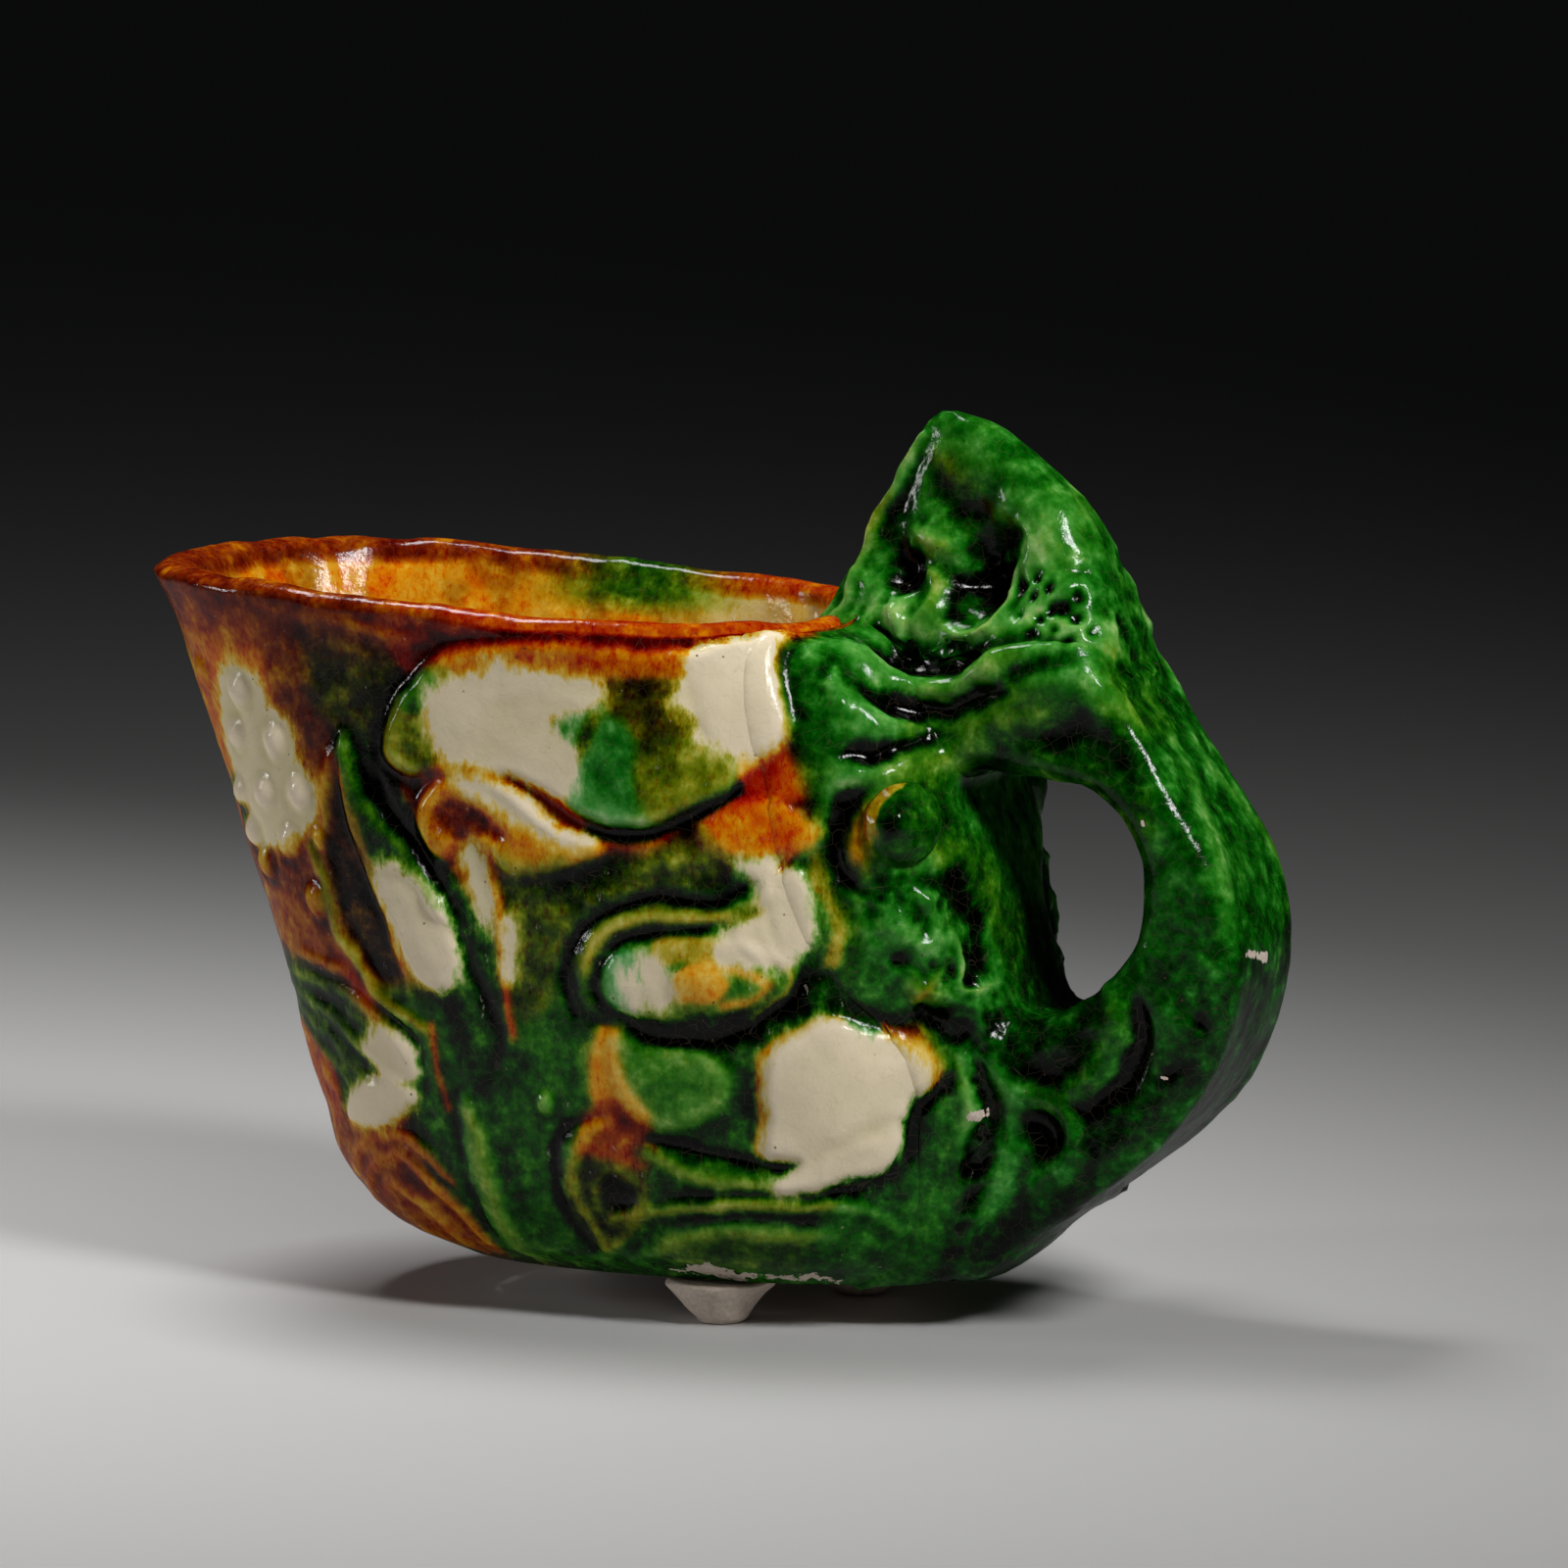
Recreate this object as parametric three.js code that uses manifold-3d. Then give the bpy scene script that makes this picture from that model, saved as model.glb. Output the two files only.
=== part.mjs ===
// Elephant-head drinking cup in press-moulded, lead-glazed earthenware.
// Two moulded wall halves meet on the middle plane, a floor slab plugs them below, and the front of
// the head, the trunk that curls down as the handle, the crest over it, two eye bosses and three
// clay pads are luted on. Millimetres, +Z up. The spout points to -X and the trunk to +X.
// The near side is -Y. The finished cup's origin is on the surface that it stands on, under the middle
// of its length; the pieces are drawn from the modelling origin and moved there together at the end.

import * as THREE from 'three';
import { mergeVertices } from 'three/addons/utils/BufferGeometryUtils.js';
import Module from 'manifold-3d';

const wasm = await Module();
wasm.setup();

// Driving dimensions of the whole cup
const spoutReach = 58; // modelling origin to the spout's tip
const trunkReach = 59.2; // modelling origin to the outside of the trunk
const rimHeight = 72; // standing surface to the mouth's rim
const halfWidth = 24; // middle plane to the side of the wall, half way up
const padHeight = 4.6; // height of the clay pads that it stands on
const wallHeight = rimHeight - padHeight;

// Clay thicknesses
const wallThickness = 4;
const lipThickness = 2.8;
const spoutThickness = 4.6;
const floorThickness = 4.4;
const luteGap = 0.3; // the slip line between two pieces
const overrun = 10; // how far a cut runs past what it cuts
const weldDistance = 0.08; // edges shorter than this are closed up after a cut
const sharedByEdge = 4; // an edge that may be closed up has its two ends and two other corners

// The mouth
const mouthBack = 16.5; // middle to the back of the mouth's rim
const rimRise = 2; // how much the rim climbs at the spout and falls at the back
const rimShare = 0.95; // above this share of the wall's height, the wall's back is the mouth's rim
const lipRound = 0.7; // how far the lip's top edge draws in

// Front of the head, in front of the wall's back
const maskThickness = 4;
const maskCore = 5; // the mask's forms start inside the body here
const maskHalfWidth = 19;
const maskWallBack = 33.4; // farthest back of the wall, under the mask
const maskBelowRim = 3.5;
const maskAboveBase = 0.8;
const maskTop = rimHeight - maskBelowRim;
const maskBottom = padHeight + maskAboveBase;

// Trunk handle, a flat strap with rounded edges
const trunkWidth = 20;
const trunkEdgeRound = 2.8;

// Crest
const crestSink = 6; // how far its foot lies below the rim
const crestOverhang = 3.1; // how far its front edge hangs over the mouth's rim
const crestFoot = rimHeight - crestSink;
const crestHeight = 24.4;
const crestFront = mouthBack - crestOverhang;
const crestLength = 32;
const crestHalfWidth = 10;
const crestPinchShare = 0.62; // how much narrower it is over the mouth than over the trunk
const pitPlaceShare = new THREE.Vector3(0.56, 0.84, 0.33); // of the crest's length, width and height
const recessSize = new THREE.Vector3(10.5, 6.4, 12.5);
const pitSize = new THREE.Vector3(5, 13, 8.6);

// Floor slab, seen from below
const slabInset = 2.6; // how far its edge lies inside the wall's lowest edge

// Clay pads
const padTopRadius = 5.4;
const padFootRadius = 2.6;
const padPlaces = {
  near: new THREE.Vector2(6.4, -12),
  far: new THREE.Vector2(14, 7),
  spout: new THREE.Vector2(-15, 9),
};

// Fineness of the faceted surfaces
const aroundBody = 60;
const aroundHead = 40;
const aroundPad = 16;
const aroundBoss = 12;
const aroundPit = 16;
const aroundGrape = 7;
const grapeTiers = 4;
const ridgeSides = 5;
const ridgeSteps = 8;
const trunkSteps = 20;

// Outer wall from the bottom up: share of the wall's height, then the front's and the back's
// distance from the middle as shares of the length and of the wall's farthest back, the width's
// share, and the share of the rim's rise.
const wallShares = [
  [0.0, 0.434, 0.78, 0.625, 0],
  [0.036, 0.541, 0.885, 0.77, 0],
  [0.095, 0.622, 0.943, 0.867, 0],
  [0.228, 0.686, 0.98, 0.942, 0],
  [0.392, 0.741, 0.968, 0.983, 0],
  [0.525, 0.791, 0.908, 1.0, 0],
  [0.703, 0.866, 0.82, 1.008, 0.15],
  [0.852, 0.928, 0.67, 1.017, 0.5],
  [0.935, 0.966, 0.556, 1.03, 0.8],
  [0.985, 1.0, 0.495, 1.063, 1],
];
const wallPower = 2.6;

// Inside of the cup: height above the floor as a share of the depth, then how much further in than
// the wall's thickness the surface lies, as a share of that thickness.
const cavityShares = [
  [0.0, 1.4],
  [0.02, 0.6],
  [0.06, 0.1],
  [0.2, 0.0],
  [0.4, 0.0],
  [0.6, 0.0],
  [0.8, 0.0],
  [0.93, -0.1],
];

// Front of the head from the bottom up: share of the height between the mask's two ends, how far
// it stands off the wall's back as a share of its thickness, and its width's share.
const maskShares = [
  [0.0, 1.5, 0.55],
  [0.06, 1.35, 0.62],
  [0.2, 1.05, 0.7],
  [0.38, 1.02, 0.78],
  [0.48, 1.0, 0.93],
  [0.6, 1.0, 1.0],
  [0.78, 1.0, 1.0],
  [0.92, 1.15, 0.95],
  [1.0, 0.9, 0.85],
];
const maskPower = 3;

// Crest from the foot up: share of its height, its front's and back's share of the length, and the
// width's share.
const crestShares = [
  [0.0, 0.0, 0.99, 1.0],
  [0.15, 0.005, 1.0, 1.0],
  [0.33, 0.06, 0.95, 0.88],
  [0.53, 0.145, 0.88, 0.7],
  [0.72, 0.215, 0.765, 0.5],
  [0.885, 0.29, 0.615, 0.31],
  [0.97, 0.335, 0.5, 0.17],
  [1.0, 0.37, 0.42, 0.07],
];
const crestPower = 2.3;

// Trunk seen from the side: shares of the length and of the rim's height, down its outer edge and
// back up along the finger gap.
const trunkOuterShares = [
  [0.38, 0.885],
  [0.47, 0.915],
  [0.62, 0.935],
  [0.715, 0.945],
  [0.79, 0.885],
  [0.892, 0.762],
  [0.962, 0.668],
  [1.0, 0.558],
  [0.992, 0.464],
  [0.945, 0.368],
  [0.878, 0.294],
  [0.772, 0.214],
  [0.666, 0.153],
  [0.545, 0.11],
];
const trunkInnerShares = [
  [0.5, 0.42],
  [0.63, 0.432],
  [0.72, 0.467],
  [0.768, 0.495],
  [0.812, 0.543],
  [0.829, 0.598],
  [0.826, 0.665],
  [0.792, 0.72],
  [0.74, 0.757],
  [0.69, 0.767],
  [0.48, 0.785],
  [0.38, 0.79],
];

// Relief on each wall. A form's middle is given in shares of the spout's reach and of the rim's
// height. A pad is a raised field with an outline in shares of its own length and height; a ridge
// is a raised line given in the same way.
const padSink = 1.5; // how deep a form's underside lies in the wall
const padShoulderShare = 0.88; // where a raised field reaches its full height
const padCrownShare = 0.4;
const ropeEndShare = 0.45; // a raised line's girth at its ends
const ear = { xShare: -0.052, zShare: 0.814, length: 42, height: 21.5, lift: 1.5 };
const earShares = [
  [-0.5, 0.08], [-0.44, 0.32], [-0.33, 0.44], [-0.04, 0.44], [0.23, 0.44], [0.39, 0.42],
  [0.49, 0.27], [0.5, -0.02], [0.39, -0.34], [0.25, -0.49], [0.1, -0.51], [0.01, -0.4],
  [-0.14, -0.38], [-0.29, -0.31], [-0.4, -0.15],
];
const earRollRadius = 1.7;
const earRollShares = [
  [-0.43, -0.44], [-0.36, -0.31], [-0.27, -0.33], [-0.14, -0.42], [0.0, -0.44], [0.12, -0.54],
  [0.25, -0.5], [0.39, -0.36], [0.49, -0.05],
];
const lobe = { xShare: -0.185, zShare: 0.703, length: 19, height: 9.6, lift: 1.3 };
const lobeShares = [
  [-0.5, 0.15], [-0.42, 0.33], [-0.28, 0.49], [-0.13, 0.5], [0.04, 0.33], [0.22, 0.07],
  [0.44, -0.11], [0.5, -0.27], [0.37, -0.41], [0.16, -0.5], [-0.01, -0.45], [-0.12, -0.29],
  [-0.29, -0.25], [-0.46, -0.26],
];
const leaf = { xShare: -0.483, zShare: 0.632, length: 11, height: 24, lift: 1.3 };
const leafShares = [
  [-0.16, 0.49], [-0.37, 0.33], [-0.5, 0.07], [-0.35, -0.15], [0.14, -0.46], [0.47, -0.5],
  [0.11, 0.0], [-0.11, 0.34],
];
const leafEdge = { xShare: -0.467, zShare: 0.51, length: 13.6, height: 19 };
const leafEdgeRadius = 1.1;
const leafEdgeShares = [
  [-0.5, 0.5], [-0.39, 0.31], [-0.32, 0.08], [-0.07, -0.11], [0.21, -0.32], [0.5, -0.5],
];
const petal = { xShare: -0.362, zShare: 0.549, length: 9, height: 12, lift: 1.2 };
const petalShares = [
  [-0.44, 0.5], [-0.4, 0.0], [-0.15, -0.4], [0.09, -0.5], [0.45, -0.25], [0.48, 0.05],
  [-0.05, 0.38],
];
const eyelid = { xShare: 0.131, zShare: 0.494, length: 18, height: 10.5, lift: 1.5 };
const almondShares = [
  [-0.5, 0.0], [-0.36, -0.3], [-0.12, -0.48], [0.15, -0.48], [0.38, -0.3], [0.5, 0.02],
  [0.38, 0.32], [0.15, 0.5], [-0.12, 0.48], [-0.36, 0.3],
];
const iris = { xShare: 0.183, zShare: 0.493, length: 7, height: 6.4, lift: 2.4 };
const cheek = { xShare: 0.39, zShare: 0.333, length: 14.6, height: 17, lift: 1.6 };
const roundShares = [
  [-0.5, 0.0], [-0.35, -0.35], [0.0, -0.5], [0.35, -0.35], [0.5, 0.0], [0.35, 0.35],
  [0.0, 0.5], [-0.35, 0.35],
];
const muzzle = { xShare: 0.269, zShare: 0.603, length: 8, height: 11, lift: 1.4 };
const brow = { xShare: 0.086, zShare: 0.567, length: 18, height: 7 };
const browRadius = 1.2;
const browShares = [[-0.5, -0.5], [-0.33, -0.05], [0.1, 0.12], [0.5, 0.5]];
const jaw = { xShare: 0.181, zShare: 0.181, length: 21, height: 4 };
const jawRadius = 1.3;
const jawShares = [[-0.5, -0.4], [-0.1, 0.35], [0.15, 0.5], [0.5, 0.0]];
const fold = { xShare: 0.158, zShare: 0.233, length: 13.7, height: 3.3 };
const foldRadius = 1.2;
const foldShares = [[-0.5, 0.5], [-0.28, 0.17], [-0.02, -0.2], [0.26, -0.35], [0.5, -0.5]];
const drip = { xShare: -0.05, zShare: 0.32, length: 5.4, height: 26 };
const dripRadius = 1.4;
const dripShares = [
  [0.0, 0.5], [0.15, 0.26], [0.45, 0.07], [-0.15, -0.06], [-0.5, -0.22], [-0.35, -0.37],
  [0.1, -0.5],
];
const frond = { xShare: -0.259, zShare: 0.181, length: 6, height: 14 };
const frondRadius = 1.4;
const frondShares = [[-0.2, 0.5], [-0.3, 0.1], [0.0, -0.2], [0.5, -0.5]];
const curl = { xShare: -0.457, zShare: 0.194, length: 9, height: 11 };
const curlRadius = 1.2;
const curlShares = [
  [-0.5, 0.4], [0.0, 0.5], [0.45, 0.25], [0.5, -0.15], [0.2, -0.5], [-0.25, -0.4],
];
const grapeRadius = 2;
const grapeSwellShare = 0.62; // how far a grape stands up, as a share of its radius
const cluster = { xShare: -0.707, zShare: 0.722, length: 14, height: 22 };
const grapeShares = [
  [-0.08, 0.46], [-0.45, 0.36], [-0.18, 0.24], [0.18, 0.25], [-0.42, 0.05], [0.06, 0.0],
  [0.4, -0.01], [-0.25, -0.18], [0.31, -0.25], [0.04, -0.37], [0.48, -0.5],
];

// Wrinkles on the front of the head, as shares of a turn from the middle line and of the height
const wrinkleRadius = 1.5;
const wrinkleShares = [
  [[0.19, 0.95], [0.13, 0.915], [0.08, 0.9]],
  [[0.2, 0.84], [0.14, 0.83], [0.08, 0.85]],
  [[0.2, 0.7], [0.16, 0.77], [0.1, 0.79]],
  [[0.151, 0.418], [0.142, 0.363], [0.157, 0.294], [0.182, 0.224], [0.205, 0.154]],
  [[0.118, 0.381], [0.112, 0.315], [0.116, 0.248], [0.134, 0.18]],
];
const browLobeRadius = 2.3; // the broad fold below each eye boss
const browLobeShares = [[0.215, 0.545], [0.175, 0.571], [0.13, 0.549]];

// Eye bosses on the front of the head
const bossTurnShare = 0.163; // of a full turn, from the middle line of the head's front
const bossHeightShare = 0.715; // of the rim's height
const bossSize = new THREE.Vector3(7.6, 6.4, 8);

// Colours of the fired glazes and the bare clay
const amberGlaze = 0xa8631c;
const darkAmberGlaze = 0x8a4f1a;
const greenGlaze = 0x1f5a26;
const oliveGlaze = 0x3d4f1c;
const bareClay = 0xd8c6b2;
const glazeRoughness = 0.18;
const clayRoughness = 0.85;

// Values of a table at one height, between its two nearest rows
function readRow(table, share) {
  const last = table.length - 2;
  const found = table.findIndex((row, i) => i <= last && share <= table[i + 1][0]);
  const i = found < 0 ? last : found;
  const t = THREE.MathUtils.clamp((share - table[i][0]) / (table[i + 1][0] - table[i][0]), 0, 1);
  return table[i].map((value, k) => THREE.MathUtils.lerp(value, table[i + 1][k], t));
}

// One level outline of a form: its front and back ends, half width and roundness
function section(height, front, back, half, power, rise = 0, pinchShare = 0) {
  return { height, front, back, half, power, rise, pinchShare };
}

// A point on a section: a squared-off oval, narrowed to the front by its pinch
function sectionPoint(s, angle) {
  const along = Math.sign(Math.cos(angle)) * Math.abs(Math.cos(angle)) ** (2 / s.power);
  const across = Math.sign(Math.sin(angle)) * Math.abs(Math.sin(angle)) ** (2 / s.power);
  const middle = (s.front + s.back) / 2;
  const reach = (s.back - s.front) / 2;
  const narrow = 1 - (s.pinchShare * (1 - along)) / 2;
  return new THREE.Vector3(middle + reach * along, s.half * narrow * across, s.height - s.rise * along);
}

function wallSection(share, extra = 0) {
  const [, front, back, half, rise] = readRow(wallShares, share);
  return section(
    padHeight + share * wallHeight,
    -front * spoutReach - extra,
    (share > rimShare ? mouthBack : back * maskWallBack) + extra,
    half * halfWidth + extra,
    wallPower,
    rise * rimRise,
  );
}

function maskSection(share, extra = 0) {
  const [, stand, half] = readRow(maskShares, share);
  const height = THREE.MathUtils.lerp(maskBottom, maskTop, share);
  const wall = wallSection((height - padHeight) / wallHeight);
  return section(
    height,
    maskCore,
    wall.back + stand * maskThickness + extra,
    half * maskHalfWidth + extra,
    maskPower,
  );
}

// The mask's section at a share of the rim's height
function maskAt(share) {
  return maskSection((share * rimHeight - maskBottom) / (maskTop - maskBottom));
}

function crestSection([share, front, back, half]) {
  return section(
    crestFoot + share * crestHeight,
    crestFront + front * crestLength,
    crestFront + back * crestLength,
    half * crestHalfWidth,
    crestPower,
    0,
    crestPinchShare,
  );
}

// Triangles from rings of equal length, closed by a fan at each end
function closeRings(rings) {
  const around = rings[0].length;
  const points = rings.flat();
  const faces = [];
  for (let i = 0; i < rings.length - 1; i += 1) {
    for (let j = 0; j < around; j += 1) {
      const next = (j + 1) % around;
      const [a, b] = [i * around + j, i * around + next];
      const [c, d] = [a + around, b + around];
      faces.push(a, b, d, a, d, c);
    }
  }
  const first = rings[0].reduce((sum, p) => sum.add(p), new THREE.Vector3()).divideScalar(around);
  const last = rings.at(-1).reduce((sum, p) => sum.add(p), new THREE.Vector3()).divideScalar(around);
  const top = (rings.length - 1) * around;
  points.push(first, last);
  for (let j = 0; j < around; j += 1) {
    const next = (j + 1) % around;
    faces.push(points.length - 2, next, j);
    faces.push(points.length - 1, top + j, top + next);
  }
  const geometry = new THREE.BufferGeometry().setFromPoints(points);
  geometry.setIndex(faces);
  return geometry;
}

// A body whose level outlines change from section to section
function loft(sections, around) {
  const turn = (2 * Math.PI) / around;
  return closeRings(
    sections.map((s) => Array.from({ length: around }, (_, j) => sectionPoint(s, j * turn))),
  );
}

function mirrored(geometry) {
  const copy = geometry.clone().scale(1, -1, 1);
  const index = Array.from(copy.index.array);
  for (let i = 0; i < index.length; i += 3) {
    [index[i], index[i + 1]] = [index[i + 1], index[i]];
  }
  copy.setIndex(index);
  return copy;
}

function toSolid(geometry) {
  const bare = geometry.clone();
  bare.deleteAttribute('normal');
  bare.deleteAttribute('uv');
  const merged = mergeVertices(bare);
  return new wasm.Manifold(new wasm.Mesh({
    numProp: 3,
    vertProperties: new Float32Array(merged.attributes.position.array),
    triVerts: new Uint32Array(merged.index.array),
  }));
}

// Closes up every edge shorter than the weld distance, where the surface stays closed
function closeShortEdges(points, faces) {
  const facesAt = points.map(() => new Set());
  faces.forEach((face, i) => face.forEach((corner) => facesAt[corner].add(i)));
  const joinedTo = (corner) => new Set([...facesAt[corner]].flatMap((i) => faces[i]));
  const closeEdge = (kept, lost) => {
    for (const j of facesAt[lost]) {
      if (faces[j].includes(kept)) {
        faces[j].forEach((corner) => corner !== lost && facesAt[corner].delete(j));
        faces[j] = null;
      } else {
        faces[j] = faces[j].map((corner) => (corner === lost ? kept : corner));
        facesAt[kept].add(j);
      }
    }
    facesAt[lost].clear();
  };
  const closeOne = (i) => [0, 1, 2].some((k) => {
    const [kept, lost] = [faces[i][k], faces[i][(k + 1) % 3]];
    if (points[kept].distanceTo(points[lost]) >= weldDistance) return false;
    const others = joinedTo(lost);
    const shared = [...joinedTo(kept)].filter((corner) => others.has(corner));
    if (shared.length !== sharedByEdge) return false;
    closeEdge(kept, lost);
    return true;
  });
  for (let i = 0; i < faces.length; i += 1) {
    while (faces[i] && closeOne(i));
  }
  return faces.filter((face) => face);
}

function toGeometry(solid) {
  const mesh = solid.getMesh();
  const places = new THREE.BufferAttribute(mesh.vertProperties, 3);
  const points = Array.from({ length: places.count }, (_, i) => (
    new THREE.Vector3().fromBufferAttribute(places, i)
  ));
  const faces = Array.from({ length: mesh.triVerts.length / 3 }, (_, i) => (
    Array.from(mesh.triVerts.slice(3 * i, 3 * i + 3))
  ));
  const geometry = new THREE.BufferGeometry();
  geometry.setAttribute('position', places);
  geometry.setIndex(closeShortEdges(points, faces).flat());
  return geometry;
}

function joinAll(solids) {
  return solids.reduce((sum, solid) => sum.add(solid));
}

function block(low, high) {
  const size = high.clone().sub(low);
  const middle = high.clone().add(low).multiplyScalar(0.5);
  return toSolid(new THREE.BoxGeometry(size.x, size.y, size.z).translate(middle.x, middle.y, middle.z));
}

function ellipsoid(centre, size, around) {
  const ball = new THREE.SphereGeometry(0.5, around, around / 2);
  return ball.scale(size.x, size.y, size.z).translate(centre.x, centre.y, centre.z);
}

// The filled outer body, grown by a little when it cuts what sits on it
function bodySolid(extra = 0) {
  const sections = wallShares.map(([share]) => wallSection(share, extra));
  sections[0].height -= extra;
  const rim = { ...sections.at(-1), height: rimHeight + extra };
  rim.half -= lipRound;
  rim.front += lipRound;
  return toSolid(loft([...sections, rim], aroundBody));
}

function cavitySolid() {
  const floorTop = padHeight + floorThickness;
  const depth = rimHeight - floorTop;
  const inner = ([share, more]) => {
    const height = floorTop + share * depth;
    const s = wallSection((height - padHeight) / wallHeight);
    const inset = wallThickness * (1 + more);
    return { ...s, height, front: s.front + inset, back: s.back - inset, half: s.half - inset };
  };
  const sections = cavityShares.map(inner);
  const rim = wallSection(1);
  for (const height of [rimHeight, rimHeight + overrun]) {
    sections.push({
      ...rim,
      height,
      front: rim.front + spoutThickness,
      back: rim.back - lipThickness,
      half: rim.half - lipThickness,
    });
  }
  return toSolid(loft(sections, aroundBody));
}

function maskSolid(extra = 0) {
  const sections = maskShares.map(([share]) => maskSection(share, extra));
  sections[0].height -= extra;
  sections.at(-1).height += extra;
  return toSolid(loft(sections, aroundHead));
}

function trunkSolid(extra = 0) {
  const curve = (shares) => new THREE.SplineCurve(
    shares.map(([x, z]) => new THREE.Vector2(x * trunkReach, z * rimHeight)),
  ).getPoints(trunkSteps);
  const outline = new THREE.Shape([...curve(trunkOuterShares), ...curve(trunkInnerShares)]);
  const strap = new THREE.ExtrudeGeometry(outline, {
    depth: trunkWidth - 2 * trunkEdgeRound + 2 * extra,
    bevelThickness: trunkEdgeRound,
    bevelSize: trunkEdgeRound,
    bevelOffset: extra - trunkEdgeRound,
    bevelSegments: 2,
    steps: 1,
  });
  strap.rotateX(Math.PI / 2);
  strap.translate(0, trunkWidth / 2 - trunkEdgeRound + extra, 0);
  return toSolid(strap);
}

// A point on the near side of a form, found from its place along the cup and its height
function nearPoint(s, x, lift) {
  const along = (x - (s.front + s.back) / 2) / ((s.back - s.front) / 2);
  const held = THREE.MathUtils.clamp(along, -1, 1);
  const angle = -Math.acos(Math.sign(held) * Math.abs(held) ** (s.power / 2));
  const point = sectionPoint(s, angle);
  const step = Math.PI / aroundBody;
  const tangent = sectionPoint(s, angle + step).sub(sectionPoint(s, angle - step)).normalize();
  const outward = new THREE.Vector3(tangent.y, -tangent.x, 0);
  return { point: point.addScaledVector(outward, lift), outward };
}

// A point on the near wall, from a form's middle and a step along the cup and up from it
function onWall(form, alongStep, upStep, lift) {
  const height = form.zShare * rimHeight + upStep;
  const s = wallSection((height - padHeight) / wallHeight);
  return nearPoint(s, form.xShare * spoutReach + alongStep, lift);
}

// A raised field on the wall: its edge is sunk in the clay and its middle stands up
function raisedPad(form, shares) {
  const outline = shares.map(([u, v]) => new THREE.Vector2(u * form.length, v * form.height));
  if (THREE.ShapeUtils.isClockWise(outline)) outline.reverse();
  const ring = (shrink, lift) => outline.map(
    (corner) => onWall(form, corner.x * shrink, corner.y * shrink, lift).point,
  );
  const edge = ring(1, -padSink);
  const shoulder = ring(padShoulderShare, form.lift);
  return toSolid(closeRings([edge, shoulder, ring(padCrownShare, form.lift)]));
}

// A raised line: a rope half sunk in the surface, thinning to its ends
function rope(places, radius) {
  const path = new THREE.CatmullRomCurve3(places.map(({ point }) => point));
  const rings = Array.from({ length: ridgeSteps + 1 }, (_, i) => {
    const t = i / ridgeSteps;
    const centre = path.getPoint(t);
    const forward = path.getTangent(t);
    const exact = t * (places.length - 1);
    const before = Math.min(Math.floor(exact), places.length - 2);
    const up = places[before].outward.clone().lerp(places[before + 1].outward, exact - before);
    const side = new THREE.Vector3().crossVectors(up, forward).normalize();
    up.crossVectors(forward, side);
    const girth = radius * THREE.MathUtils.lerp(ropeEndShare, 1, Math.sin(Math.PI * t));
    return Array.from({ length: ridgeSides }, (_, j) => {
      const angle = (2 * Math.PI * j) / ridgeSides;
      return centre.clone()
        .addScaledVector(side, girth * Math.cos(angle))
        .addScaledVector(up, girth * Math.sin(angle));
    });
  });
  return toSolid(closeRings(rings));
}

function wallRidge(form, shares, radius) {
  return rope(shares.map(([u, v]) => onWall(form, u * form.length, v * form.height, 0)), radius);
}

function grape([u, v]) {
  const { point, outward } = onWall(cluster, u * cluster.length, v * cluster.height, 0);
  const ball = new THREE.SphereGeometry(grapeRadius, aroundGrape, grapeTiers);
  ball.scale(1, grapeSwellShare, 1);
  ball.rotateZ(Math.atan2(outward.y, outward.x) + Math.PI / 2);
  return toSolid(ball.translate(point.x, point.y, point.z));
}

function wallRelief() {
  return joinAll([
    raisedPad(ear, earShares),
    wallRidge(ear, earRollShares, earRollRadius),
    raisedPad(lobe, lobeShares),
    raisedPad(leaf, leafShares),
    wallRidge(leafEdge, leafEdgeShares, leafEdgeRadius),
    raisedPad(petal, petalShares),
    raisedPad(eyelid, almondShares),
    raisedPad(iris, roundShares),
    raisedPad(cheek, roundShares),
    raisedPad(muzzle, roundShares),
    wallRidge(brow, browShares, browRadius),
    wallRidge(jaw, jawShares, jawRadius),
    wallRidge(fold, foldShares, foldRadius),
    wallRidge(drip, dripShares, dripRadius),
    wallRidge(frond, frondShares, frondRadius),
    wallRidge(curl, curlShares, curlRadius),
    ...grapeShares.map(grape),
  ]);
}

function slabSection(extra) {
  const s = wallSection(0);
  const inset = slabInset - extra;
  return { ...s, front: s.front + inset, back: s.back - inset, half: s.half - inset };
}

function slabSolid(extra = 0) {
  const s = slabSection(extra);
  const low = { ...s, height: padHeight - extra * overrun };
  const high = { ...s, height: padHeight + floorThickness + extra * overrun };
  return toSolid(loft([low, high], aroundHead));
}

// One moulded half of the wall, with its relief, on the near side of the middle plane
function nearWall() {
  const far = new THREE.Vector3(trunkReach, -luteGap / 2, rimHeight + overrun);
  const near = new THREE.Vector3(-spoutReach - overrun, -halfWidth - overrun, -overrun);
  const relief = wallRelief().subtract(maskSolid(luteGap));
  const whole = bodySolid().add(relief).subtract(cavitySolid()).subtract(slabSolid(luteGap));
  return toGeometry(whole.intersect(block(near, far)));
}

function wrinkle(shares, radius) {
  const places = shares.map(([turn, height]) => {
    const angle = -turn * 2 * Math.PI;
    const point = sectionPoint(maskAt(height), angle);
    const outward = new THREE.Vector3(Math.cos(angle), Math.sin(angle), 0);
    return { point, outward };
  });
  return closeRopePair(places, radius);
}

// A wrinkle and its mirror image on the far side
function closeRopePair(places, radius) {
  const near = rope(places, radius);
  return near.add(toSolid(mirrored(toGeometry(near))));
}

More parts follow.
